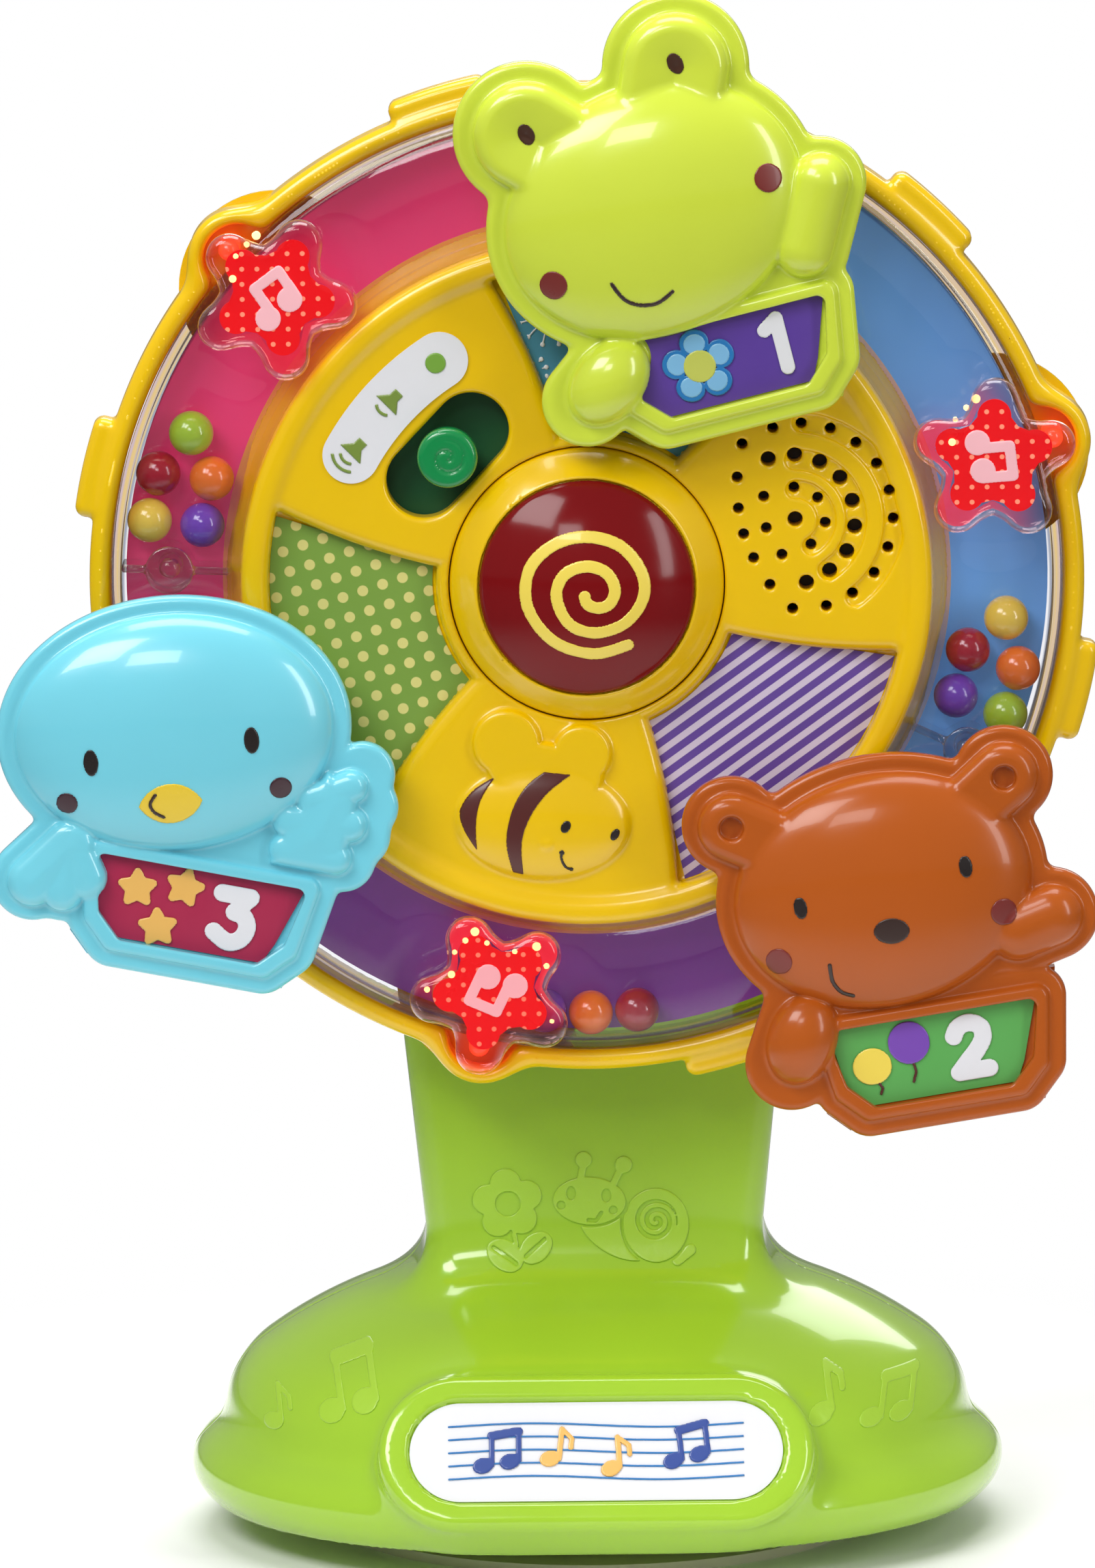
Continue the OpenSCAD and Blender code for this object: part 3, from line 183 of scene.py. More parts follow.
def slab(plan, z, low, high, r):
    """A plan extruded from low to high, with its edges rounded by r."""
    a, b = plan + r, np.abs(z - (low + high) / 2) - (high - low) / 2 + r
    return np.minimum(np.maximum(a, b), 0) + np.hypot(np.maximum(a, 0), np.maximum(b, 0)) - r


# Places: from a piece's own frame to the CAD's

def on_wheel(p):
    """From the wheel's frame (across, up, forward) to the CAD's, at the wheel's turn at rest."""
    x, y = turned(p[:, 0], p[:, 1], (0, 0), -WHEEL_TURN)
    return np.stack([x, -p[:, 2], WHEEL_H + y], 1)


def pivot(animal):
    x, y = polar(PIN_AT, PIN_ANGLES[animal] + WHEEL_TURN)
    return x, WHEEL_H + y


def on_pin(animal):
    """From an upright gondola's frame, measured from its pin, to the CAD's."""
    px, pz = pivot(animal)

    def place(p):
        x, y = turned(p[:, 0], p[:, 1], (0, 0), -GONDOLA_TURN[animal])
        return np.stack([px + x, -p[:, 2], pz + y], 1)
    return place


def as_is(p):
    return p


def draped(field, low, high, place):
    """Lays a flat piece on the front surface of a field, searched between two depths."""
    def settle(p):
        a, b = np.full(len(p), float(low)), np.full(len(p), float(high))
        for _ in range(24):
            mid = (a + b) / 2
            inside = field(p[:, 0], p[:, 1], mid) < 0
            a, b = np.where(inside, mid, a), np.where(inside, b, mid)
        return place(np.stack([p[:, 0], p[:, 1], a + p[:, 2]], 1))
    return settle


# Meshes

def mesh_object(name, points, quads, material):
    mesh = bpy.data.meshes.new(name)
    mesh.vertices.add(len(points))
    mesh.vertices.foreach_set("co", (points * MM).astype(np.float32).ravel())
    mesh.loops.add(quads.size)
    mesh.loops.foreach_set("vertex_index", quads.astype(np.int32).ravel())
    mesh.polygons.add(len(quads))
    mesh.polygons.foreach_set("loop_start", np.arange(0, quads.size, 4, dtype=np.int32))
    mesh.update(calc_edges=True)
    mesh.polygons.foreach_set("use_smooth", np.ones(len(quads), bool))
    mesh.materials.append(material)
    piece = bpy.data.objects.new(name, mesh)
    bpy.context.scene.collection.objects.link(piece)
    return piece


def solid(name, field, low, high, step, material, body, place=as_is, replaces=(), slot=None):
    """A smooth closed mesh of where a field is negative: a grid's cells, drawn onto the surface."""
    low = np.array(low, float)
    axes = [np.arange(a, b + step, step) for a, b in zip(low, high)]
    shape = [len(a) for a in axes]
    values = field(axes[0][:, None, None], axes[1][None, :, None], axes[2][None, None, :])
    values = np.broadcast_to(values, shape).astype(np.float32)
    inside = values < 0
    corners = [(i, j, k) for i in (0, 1) for j in (0, 1) for k in (0, 1)]
    count = np.zeros([n - 1 for n in shape], np.int8)
    for i, j, k in corners:
        count += inside[i:shape[0] - 1 + i, j:shape[1] - 1 + j, k:shape[2] - 1 + k]
    active = (count > 0) & (count < 8)
    cells = np.argwhere(active)
    ident = np.full(active.shape, -1, np.int32)
    ident[active] = np.arange(len(cells))

    at = {c: values[cells[:, 0] + c[0], cells[:, 1] + c[1], cells[:, 2] + c[2]] for c in corners}
    total, hits = np.zeros((len(cells), 3)), np.zeros(len(cells))
    for a in corners:
        for axis in range(3):
            if a[axis] == 0:
                b = tuple(1 if i == axis else a[i] for i in range(3))
                cross = (at[a] < 0) != (at[b] < 0)
                share = at[a] / np.where(cross, at[a] - at[b], 1)
                point = np.array(a, float) + share[:, None] * (np.array(b) - np.array(a))
                total += np.where(cross[:, None], point, 0)
                hits += cross
    points = low + step * (cells + total / hits[:, None])

    quads = []
    for axis in range(3):
        u, v = (axis + 1) % 3, (axis + 2) % 3
        first = [slice(None)] * 3
        second = [slice(None)] * 3
        first[axis], second[axis] = slice(None, -1), slice(1, None)
        starts = inside[tuple(first)]
        edges = np.argwhere(starts != inside[tuple(second)])
        for w in (u, v):
            edges = edges[(edges[:, w] > 0) & (edges[:, w] < shape[w] - 1)]
        ring = []
        for du, dv in ((-1, -1), (0, -1), (0, 0), (-1, 0)):
            e = edges.copy()
            e[:, u] += du
            e[:, v] += dv
            ring.append(ident[e[:, 0], e[:, 1], e[:, 2]])
        ring = np.stack(ring, 1)
        outward = starts[edges[:, 0], edges[:, 1], edges[:, 2]]
        quads.append(np.where(outward[:, None], ring, ring[:, ::-1]))
    quads = np.concatenate(quads)

    first_points = points
    for _ in range(3):
        h = step * 0.1
        d = field(*points.T)
        rise = [field(*(points + h * e).T) - field(*(points - h * e).T) for e in np.eye(3)]
        slope = np.stack(rise, 1) / (2 * h)
        move = d[:, None] * slope / np.maximum((slope ** 2).sum(1), 0.05)[:, None]
        far = np.linalg.norm(move, axis=1)
        points = points - move * np.minimum(1, 0.4 * step / np.maximum(far, 1e-9))[:, None]

    missed = np.abs(field(*points.T)) > 0.25 * step
    points = np.where(missed[:, None], first_points, points)
    placed = place(points)
    if np.linalg.det(place(np.eye(3) + 1.0) - place(np.ones((3, 3)))) < 0:
        quads = quads[:, ::-1]
    piece = mesh_object(name, placed, quads, material)
    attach(piece, body)
    if replaces:
        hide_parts(*replaces)
    return piece


def decal(name, plan, low, high, material, body, place, step=0.2, thick=0.3, slot=None):
    """A thin printed or inlaid piece cut to a plan and laid by its place."""
    def field(x, y, z):
        return slab(plan(x, y), z, -thick / 2, thick / 2, 0.08)
    pad = 2 * step
    return solid(name, field, (low[0] - pad, low[1] - pad, -thick / 2 - pad),
                 (high[0] + pad, high[1] + pad, thick / 2 + pad), step, material, body, place, slot=slot)


def at_depth(f, place):
    """Lays a flat piece at a fixed depth."""
    return lambda p: place(np.stack([p[:, 0], p[:, 1], p[:, 2] + f], 1))


# Materials

def linear(rgb):
    return [c / 12.92 if c <= 0.04045 else ((c + 0.055) / 1.055) ** 2.4 for c in (v / 255 for v in rgb)]


def node(tree, kind, inputs=(), **settings):
    """Adds a node. Its inputs, by name or number, take a value or another node's output."""
    n = tree.nodes.new(kind)
    for key, value in settings.items():
        setattr(n, key, value)
    for key, value in dict(inputs).items():
        if isinstance(value, bpy.types.NodeSocket):
            tree.links.new(value, n.inputs[key])
        else:
            n.inputs[key].default_value = value
    return n


def maths(tree, operation, *values):
    return node(tree, "ShaderNodeMath", dict(enumerate(values)), operation=operation).outputs[0]


def length(tree, u, v):
    squares = [maths(tree, "MULTIPLY", w, w) for w in (u, v)]
    return maths(tree, "SQRT", maths(tree, "ADD", *squares))


def ranged(tree, value, low, high, to_low=0.0, to_high=1.0, smooth=False):
    """Maps the span from low to high onto another."""
    inputs = {"Value": value, "From Min": low, "From Max": high, "To Min": to_low, "To Max": to_high}
    kind = "SMOOTHSTEP" if smooth else "LINEAR"
    return node(tree, "ShaderNodeMapRange", inputs, interpolation_type=kind).outputs["Result"]


def mixed(tree, share, first, second):
    """Two shaders mixed by a share."""
    return node(tree, "ShaderNodeMixShader", {0: share, 1: first.outputs[0], 2: second.outputs[0]})


def coordinates(tree):
    """Across, depth and height of a point in the CAD's frame, in metres."""
    where = node(tree, "ShaderNodeTexCoord")
    return node(tree, "ShaderNodeSeparateXYZ", {0: where.outputs["Object"]}).outputs


def noise(tree, scale, detail=2.0):
    where = node(tree, "ShaderNodeTexCoord").outputs["Object"]
    inputs = {"Scale": scale, "Detail": detail, "Vector": where}
    return node(tree, "ShaderNodeTexNoise", inputs).outputs["Fac"]


def tinted(tree, rgb, amount, scale):
    """A colour that drifts a little over the surface."""
    ramp = node(tree, "ShaderNodeValToRGB", {"Fac": noise(tree, scale)})
    base = linear(rgb)
    low, high = ramp.color_ramp.elements
    low.position, high.position = 0.3, 0.7
    low.color = [c * (1 - amount) for c in base] + [1]
    high.color = [min(1, c * (1 + amount)) for c in base] + [1]
    return ramp.outputs["Color"]


def bare(name):
    """A material, and its tree without nodes."""
    m = bpy.data.materials.new(name)
    m.use_nodes = True
    m.node_tree.nodes.clear()
    return m, m.node_tree


def surface(tree, shader):
    node(tree, "ShaderNodeOutputMaterial", {"Surface": shader.outputs[0]})


def moulded(name, rgb, rough=0.22, coat=0.5, grain=0.02, drift=0.05, glow=0.0, metal=0.0, soft=0.0,
            shine=0.5):
    """Moulded plastic: a slight drift of colour, fine grain, and handling marks in the gloss."""
    m, t = bare(name)
    bump = node(t, "ShaderNodeBump", {"Strength": grain, "Distance": 0.0003, "Height": noise(t, 900, 3)})
    inputs = {
        "Base Color": tinted(t, rgb, drift, 22), "Normal": bump.outputs["Normal"], "Metallic": metal,
        "Roughness": ranged(t, noise(t, 130, 5), 0.3, 0.7, rough * 0.85, rough * 1.2),
        "Coat Weight": coat, "Coat Roughness": 0.04, "IOR": 1.5, "Specular IOR Level": shine,
    }
    if soft:
        inputs.update({"Subsurface Weight": soft, "Subsurface Radius": (0.004, 0.003, 0.002)})
        inputs.update({"Subsurface Scale": 0.4})
    if glow:
        inputs.update({"Emission Color": linear(rgb) + [1], "Emission Strength": glow})
    surface(t, node(t, "ShaderNodeBsdfPrincipled", inputs, name="Principled BSDF"))
    return m


def overlay(tree, share, colour):
    """Lays a second colour over a moulded material's own."""
    base = tree.nodes["Principled BSDF"].inputs["Base Color"]
    inputs = {"Factor": share, 6: base.links[0].from_socket, 7: colour}
    tree.links.new(node(tree, "ShaderNodeMix", inputs, data_type="RGBA").outputs[2], base)


def wheel_radius(tree):
    """Distance from the wheel's axis, for rings that go round with it."""
    across, _, height = coordinates(tree)
    return length(tree, across, maths(tree, "SUBTRACT", height, WHEEL_H * MM))


def clear(name, tint, rough=0.04, power=5.0, painted_rings=()):
    """Clear moulded plastic: what lies behind shows through, and the skin mirrors more at a slant."""
    m, t = bare(name)
    bump = node(t, "ShaderNodeBump", {"Strength": 0.08, "Distance": 0.0004, "Height": noise(t, 160, 2)})
    normal = bump.outputs["Normal"]
    colour = linear(tint) + [1]
    # Rings of tint by distance from the axis paint reflections and dark shade into the cover's edge.
    if painted_rings:
        ramp = node(t, "ShaderNodeValToRGB", {"Fac": ranged(t, wheel_radius(t), 0.066, 0.07)})
        stops = ramp.color_ramp.elements
        stops[0].color, stops[1].color = colour, linear(painted_rings[-1][1]) + [1]
        for r, rgb in painted_rings:
            stops.new((r - 66) / 4).color = linear(rgb) + [1]
        colour = ramp.outputs["Color"]
    sheer = node(t, "ShaderNodeBsdfTransparent", {"Color": colour})
    gloss = ranged(t, noise(t, 90, 3), 0.3, 0.7, rough * 0.6, rough * 1.6)
    skin = node(t, "ShaderNodeBsdfGlossy", {"Color": (1, 1, 1, 1), "Roughness": gloss, "Normal": normal})
    slant = node(t, "ShaderNodeLayerWeight", {"Blend": 0.5, "Normal": normal}).outputs["Facing"]
    surface(t, mixed(t, ranged(t, maths(t, "POWER", slant, power), 0, 1, 0.03), sheer, skin))
    return m


def lattice(tree, degrees, pitch):
    """Two repeating coordinates from -0.5 to 0.5, across and up the front, turned by an angle."""
    across, _, height = coordinates(tree)
    c, s = polar(1 / pitch, degrees)
    out = []
    for a, b in ((c, s), (-s, c)):
        v = maths(tree, "ADD", maths(tree, "MULTIPLY", across, a), maths(tree, "MULTIPLY", height, b))
        out.append(maths(tree, "SUBTRACT", maths(tree, "FRACT", maths(tree, "ADD", v, 50.0)), 0.5))
    return out


def printed(name, rgb, rgb2, kind, degrees, pitch, size, rough=0.38, glow=0.0):
    """A printed sticker with stripes or rows of dots."""
    m = moulded(name, rgb, rough=rough, coat=0.1, grain=0.05, drift=0.06, glow=glow)
    t = m.node_tree
    u, v = lattice(t, degrees, pitch)
    away = length(t, u, v) if kind == "dots" else maths(t, "ABSOLUTE", u)
    overlay(t, ranged(t, away, size - 0.02, size + 0.02, 1, 0, True), tinted(t, rgb2, 0.04, 60))
    return m


def track_film(name, rgb, edge=0.0532):
    """The track's printed floor, yellow along the hub; a faint glow of painted light brightens it under the
    clear cover.
    """
    m = moulded(name, rgb, rough=0.2, grain=0.03, glow=0.18)
    t = m.node_tree
    overlay(t, maths(t, "LESS_THAN", wheel_radius(t), edge), tinted(t, (232, 172, 24), 0.05, 40))
    return m


def glow_paint(name, share):
    """Red light from a star's lamp, strongest on the side of the hub."""
    m, t = bare(name)
    near = ranged(t, wheel_radius(t), 0.068, 0.055, 0, share, True)
    light = node(t, "ShaderNodeEmission", {"Color": tinted(t, (255, 54, 80), 0.12, 260)})
    surface(t, mixed(t, near, node(t, "ShaderNodeBsdfTransparent"), light))
    return m


def label_paint(name, rgb):
    return moulded(f"label_{name}", rgb, rough=0.42, coat=0.05, grain=0.08)


def ink(name, rgb):
    return moulded(f"print_{name}", rgb, rough=0.3, coat=0.1, grain=0.01)


def dye(name, rgb):
    return moulded(f"print_{name}", rgb, rough=0.35)


YELLOW = moulded("yellow_plastic", (243, 198, 0), coat=0.35, soft=0.05)
LIME = moulded("lime_plastic", (162, 205, 48), rough=0.15, coat=0.6, soft=0.05)
FROG = moulded("frog_plastic", (213, 230, 68), soft=0.05)
BEAR = moulded("bear_plastic", (182, 88, 24), coat=0.2, shine=0.3)
BIRD = moulded("bird_plastic", (120, 213, 231), soft=0.05)
# Tints of the cover's edge by distance from the axis in mm: painted reflections of the yellow rim and painted
# dark lines, not colours of the plastic.
EDGE_REFLECTION_TINTS = [
    (67.2, (250, 250, 252)), (67.45, (208, 211, 220)), (67.65, (206, 208, 216)), (67.8, (244, 230, 196)),
    (68.1, (226, 218, 220)), (68.35, (244, 228, 190)), (68.7, (243, 226, 188)), (68.9, (232, 220, 224)),
    (69.3, (234, 222, 222)),
]
CLEAR = clear("clear_plastic", (250, 250, 252), power=4.0, painted_rings=EDGE_REFLECTION_TINTS)
DIVIDER = clear("divider_plastic", (243, 239, 236), power=1.3)
LENS = clear("star_lens_plastic", (255, 238, 238), power=2.2)
VINYL = moulded("cup_vinyl", (205, 200, 176), rough=0.35, coat=0.0, soft=0.2)
RED = moulded("disc_red", (124, 14, 18), rough=0.14, coat=0.1, shine=0.22)
KNOB = moulded("knob_green", (10, 140, 72))
# The slider is the knob's green made much darker: painted shade of the slot it lies in.
SHADED_SLIDER = moulded("slider_green_shaded", (12, 82, 44), rough=0.4, coat=0)
STEEL = moulded("steel", (190, 194, 198), rough=0.3, coat=0, metal=1.0)
DARK = moulded("dark_plastic", (36, 36, 40), rough=0.45, coat=0)
BOARD = moulded("board", (30, 110, 60), rough=0.4)
BRASS = moulded("cell_jacket", (190, 140, 60), rough=0.35)
SILICONE = moulded("silicone", (70, 70, 74), rough=0.6, coat=0)
LAMP = moulded("lamp", (255, 70, 40), rough=0.2, glow=1.2)
FLOOR_RED = track_film("track_red", (242, 66, 128))
FLOOR_BLUE = track_film("track_blue", (114, 178, 250))
FLOOR_PURPLE = track_film("track_purple", (132, 65, 158))
# The star prints and the notes on them glow: painted light of the lamps beneath. The prints' pale dots are
# print, made brighter as painted light.
STAR_RED = printed("star_print", (220, 8, 22), (255, 236, 190), "dots", 0, 0.0022, 0.16, rough=0.3, glow=0.45)
BLUSH = moulded("print_blush", (240, 206, 214), rough=0.35, glow=0.25)
LENS_LIT = clear("star_lens_lit", (255, 226, 226), power=2.2)
PAPER_BLUE = moulded("sticker_blue", (70, 140, 168), rough=0.4, coat=0.1, grain=0.05)
PAPER_GREEN = printed("sticker_green", (126, 162, 66), (222, 214, 130), "dots", 18, 0.00305, 0.26)
PAPER_LILAC = printed("sticker_lilac", (216, 204, 226), (104, 74, 162), "stripes", -54.5, 0.00205, 0.27)
SPARK = moulded("lamp_glint", (255, 226, 150), rough=0.3, coat=0, glow=1.3)
GLOW, GLOW_LIT = glow_paint("star_glow", 0.45), glow_paint("star_glow_lit", 0.9)
WHITE = moulded("label_white", (232, 232, 236), rough=0.35, coat=0.1, grain=0.04, drift=0.02)
PURPLE = label_paint("purple", (92, 60, 156))
GREEN = label_paint("green", (92, 172, 84))
CRIMSON = label_paint("crimson", (172, 34, 74))
LIME_MATT = moulded("lime_relief", (166, 208, 56), rough=0.34, coat=0.2, grain=0.15)
BLACK = ink("black", (34, 26, 24))
BROWN = ink("brown", (86, 36, 32))
CHEEK = ink("cheek", (124, 42, 36))
NOSE = ink("nose", (52, 32, 26))
PLUM = ink("plum", (58, 26, 38))
UMBER = ink("umber", (70, 40, 25))
BEAK = ink("beak", (238, 204, 52))
SKY = dye("blue", (34, 122, 190))
PALE_SKY = dye("pale_blue", (128, 188, 228))
POLLEN = dye("pollen", (200, 206, 92))
SUN = dye("yellow", (246, 220, 86))
GRAPE = dye("purple", (122, 72, 180))
AMBER = dye("amber", (240, 186, 96))
OLIVE = dye("olive", (120, 168, 60))
MOSS = dye("moss", (122, 146, 60))
NAVY = dye("navy", (44, 72, 150))

CAD_FINISH = {
    LIME: ["base_plate"],
    STEEL: ["base_plate_screws", "stand_screws", "axle_shaft", "axle_washer", "axle_retainer",
            "battery_contacts", "battery_door_screw", "wheel_screws", "gondola_pins", "gondola_pin_caps"],
    VINYL: ["suction_cup"], DARK: ["suction_cup_retainer", "speaker"],
    WHITE: ["front_label", "switch_label"],
    YELLOW: ["wheel_back_shell", "battery_door"], CLEAR: ["bead_track_cover"],
    FLOOR_RED: ["track_floor_red"], FLOOR_BLUE: ["track_floor_blue"], FLOOR_PURPLE: ["track_floor_purple"],
    STAR_RED: ["star_prints"], LAMP: ["star_lamps"],
    PAPER_BLUE: ["sticker_blue"], PAPER_GREEN: ["sticker_green"], PAPER_LILAC: ["sticker_lilac"],
    BOARD: ["circuit_board"], BRASS: ["battery_cells"], SILICONE: ["button_springs"],
    SHADED_SLIDER: ["volume_slider"],
    FROG: ["frog_back_shell"], BEAR: ["bear_back_shell"], BIRD: ["bird_back_shell"],
    PURPLE: ["frog_label"], GREEN: ["bear_label"], CRIMSON: ["bird_label"],
}
for material, names in CAD_FINISH.items():
    for n in names:
        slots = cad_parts[n].data.materials
        slots.clear()
        slots.append(material)


# Stand

BASE_HALF, DOME_R, DOME_Z = 10.5, 45.0, 41.0
SHOULDER_Z, SHOULDER_R, LIP_Z, LIP_R, SKIRT_Z = 17.0, 14.0, 10.0, 5.0, 5.0
POST_HALF, POST_W, POST_TAPER, HEAD_R, HEAD_Z = 14.0, 24.4, math.radians(5.8), 33.0, 125.0
LABEL_Y, LABEL_Z, LABEL_LEAN = -46.5, 20.0, 29.0


def base_field(x, y, z):
    """The domed base with its rolled lip, on an oval plan."""
    u = np.hypot(np.maximum(np.abs(x) - BASE_HALF, 0), y)
    a, b = DOME_R - SHOULDER_R, DOME_Z - SHOULDER_Z
    crown_r = (a * a + b * b - SHOULDER_R ** 2) / (2 * (b - SHOULDER_R))
    away = np.hypot(u, z - DOME_Z + crown_r)
    on_crown = u < away * a / (crown_r - SHOULDER_R)
    upper = np.where(on_crown, away - crown_r, np.hypot(u - a, z - SHOULDER_Z) - SHOULDER_R)
    body = np.where(z > SHOULDER_Z, upper, u - DOME_R)
    lip = np.hypot(np.maximum(u - DOME_R, 0), z - LIP_Z) - LIP_R
    body = blend(body, lip, 4.5)
    return np.maximum(body, SKIRT_Z - z)


def post_field(x, y, z):
    side = (np.abs(x) - POST_W - (z - DOME_Z) * math.tan(POST_TAPER)) * math.cos(POST_TAPER)
    trunk = np.maximum(np.maximum(side, z - HEAD_Z), 24 - z)
    plan = blend(trunk, np.hypot(x, z - HEAD_Z) - HEAD_R, 1.0)
    return slab(plan, y, -POST_HALF, POST_HALF, 4.0)


def label_frame(x, y, z):
    """Across, up and out of the leaning label."""
    out, up = LABEL_Y - y, z - LABEL_Z
    c, s = polar(1, LABEL_LEAN)
    return x, c * up - s * out, s * up + c * out


def on_label(p):
    c, s = polar(1, LABEL_LEAN)
    return np.stack([p[:, 0], LABEL_Y - c * p[:, 2] + s * p[:, 1], LABEL_Z + c * p[:, 1] + s * p[:, 2]], 1)


def flower_relief(x, z):
    u, v = x + 12.8, z - 50.7
    petals = union(*(circle(u, v, polar(3.0, a), 2.3) for a in range(96, 456, 72)))
    leaves = union(oval(x, z, (-13.3, 43.2), (2.9, 2.1), -30), oval(x, z, (-8.7, 44.2), (2.7, 2.0), 38))
    veins = union(path(x, z, [(-15, 44.3), (-11.6, 42)], 0.25), path(x, z, [(-10.2, 43), (-7.4, 45.4)], 0.25))
    stem = capsule(x, z, (-11.9, 46.2), (-11.6, 44.6), 0.35)
    return np.maximum(union(np.maximum(petals, 1.85 - np.hypot(u, v)), leaves, stem), -veins)


def snail_relief(x, z):
    head = oval(x, z, (-0.7, 51.0), (5.4, 3.6), -3)
    horns = union(capsule(x, z, (-2.0, 54.3), (-1.5, 56.6), 0.55), circle(x, z, (-1.5, 57.2), 1.25),
                  capsule(x, z, (3.0, 53.8), (4.0, 55.8), 0.55), circle(x, z, (4.4, 56.4), 1.3))
    house = oval(x, z, (9.1, 47.4), (4.9, 5.4))
    body = np.maximum(oval(x, z, (3.6, 46.8), (6.4, 3.9), -28), -union(head - 0.3, house - 0.35))
    tail = np.maximum(capsule(x, z, (12.2, 42.3), (14.2, 43.7), 0.8), -(house - 0.35))
    u, v = x - 9.1, z - 47.9
    wind = np.mod(np.hypot(u, v) + 1.35 * np.arctan2(v, u) / (2 * math.pi), 1.35)
    groove = np.maximum(np.abs(wind - 0.67) - 0.3, np.hypot(u, v) - 3.2)
    dents = union(groove, oval(x, z, (-3.4, 52.2), (0.67, 1.0)), oval(x, z, (1.8, 51.8), (0.67, 1.0)),
                  circle(x, z, (-4.9, 50.4), 0.6), circle(x, z, (2.8, 49.6), 0.6),
                  path(x, z, [(-0.9, 48.1), (0.25, 48.0), (1.05, 49.2)], 0.25))
    return np.maximum(union(head, horns, np.maximum(house, 0.45 - head), body, tail), -dents)


def note(x, z, at, size, degrees=0, pair=True):
    """A single quaver or a beamed pair."""
    x, z = turned(x, z, at, degrees)
    x, z = x / size, z / size
    heads = [oval(x, z, (-1.0, -1.5), (1.05, 0.8), 20)]
    stems = [capsule(x, z, (-0.15, -1.4), (-0.15, 1.6), 0.28)]
    if pair:
        heads.append(oval(x, z, (1.6, -1.1), (1.05, 0.8), 20))
        stems.append(capsule(x, z, (2.45, -1.0), (2.45, 2.0), 0.28))
        stems.append(capsule(x, z, (-0.15, 1.5), (2.45, 1.95), 0.45))
    else:
        stems.append(path(x, z, [(-0.15, 1.6), (0.9, 0.7), (0.9, -0.2)], 0.26))
    return union(*heads, *stems) * size


def stand_field(x, y, z):
    d = blend(base_field(x, y, z), post_field(x, y, z), 9.0)
    u, v, w = label_frame(x, y, z)
    panel = np.hypot(np.maximum(np.abs(u) - 20, 0), v) - 11.9
    d = blend(d, slab(panel, w, -8, 1.0, 1.8), 3.0)
    recess = np.hypot(np.maximum(np.abs(u) - 19.75, 0), v) - 7.8
    d = carve(d, slab(recess, w, 0.0, 6, 0.0), 0.5)
    d = d + 0.28 * np.clip(1 - np.abs(y) / 0.35, 0, 1)
    underside = np.hypot(np.maximum(np.abs(x) - BASE_HALF, 0), y) - DOME_R
    d = np.maximum(d, -np.maximum(underside, z - 7.4))
    for sx in (-1, 1):
        for sz in (55.0, 114.47):
            d = np.maximum(d, -np.maximum(np.hypot(x - sx * 16.1, z - sz) - 2.8, 6 - y))
    return d


solid("stand_shell", stand_field, (-63, -56, 3), (63, 53, 160), 0.62, LIME, "stand",
      replaces=("stand_front_shell", "stand_rear_shell"), slot="lime_plastic")


def note_relief(x, z):
    return union(note(x, z, (-37.5, 27), 2.0, 12), note(x, z, (-46.5, 23), 1.5, 8, False),
                 note(x, z, (34.5, 26.5), 1.9, 8, False), note(x, z, (42.5, 24), 1.7, -10))


def on_front(p):
    """From a front view (across, up, forward) to the CAD's frame."""
    return np.stack([p[:, 0], -p[:, 2], p[:, 1]], 1)


def relief(name, plan, low, high, thick=0.5):
    decal(name, plan, low, high, LIME_MATT, "stand",
          draped(lambda x, y, z: stand_field(x, -z, y), 2, 60, on_front), 0.2, thick, slot="lime_plastic")


relief("flower_relief", flower_relief, (-18.5, 40), (-5, 56.5))
relief("snail_relief", snail_relief, (-7, 40.5), (16, 59))
relief("note_relief", note_relief, (-51, 18), (48, 33), 0.3)


# Wheel

def pocket_plan(x, y):
    """The three sticker pockets between the islands."""
    r = np.hypot(x, y)
    a = np.degrees(np.arctan2(y, x))
    a = np.abs(np.mod(a - 90 + 60, 120) - 60)
    half = 23 + (30.5 - 23) * (r - 22) / (46.7 - 22)
    return np.maximum(np.maximum(r - 46.7, 22 - r), r * np.sin(np.radians(np.clip(a - half, -80, 80))))


SPEAKER, SWITCH = polar(31.8, 30), polar(27.6, 150)
SMALL_HOLES = [
    (17.4, 25.0), (21.2, 28.3), (25.1, 29.8), (29.4, 30.0), (33.5, 28.8), (37.1, 26.5), (39.8, 23.1),
    (41.3, 19.2), (41.5, 14.9), (40.4, 10.8), (38.0, 7.2), (34.7, 4.6), (30.0, 3.1), (26.0, 5.8),
    (22.8, 9.1), (20.6, 12.2), (19.0, 15.7), (17.8, 20.1), (26.2, 20.4), (29.9, 19.7), (31.8, 16.4),
    (30.5, 12.8), (26.7, 10.5), (23.6, 13.8), (22.2, 18.2),
]
BIG_HOLES = [
    (27.4, 16.0), (21.6, 23.7), (25.2, 25.1), (29.0, 24.9), (32.4, 23.3), (34.9, 20.4), (36.1, 16.8),
    (35.8, 13.0), (34.0, 9.7), (31.1, 7.3),
]
GROOVES = [(4.45, -46, 105, 1.35), (8.75, -44, 104, 1.5), (14.25, -39.5, 99.5, 1.45)]
BEE_AT, BEE_TILT = (1.6, -35.7), 10.6


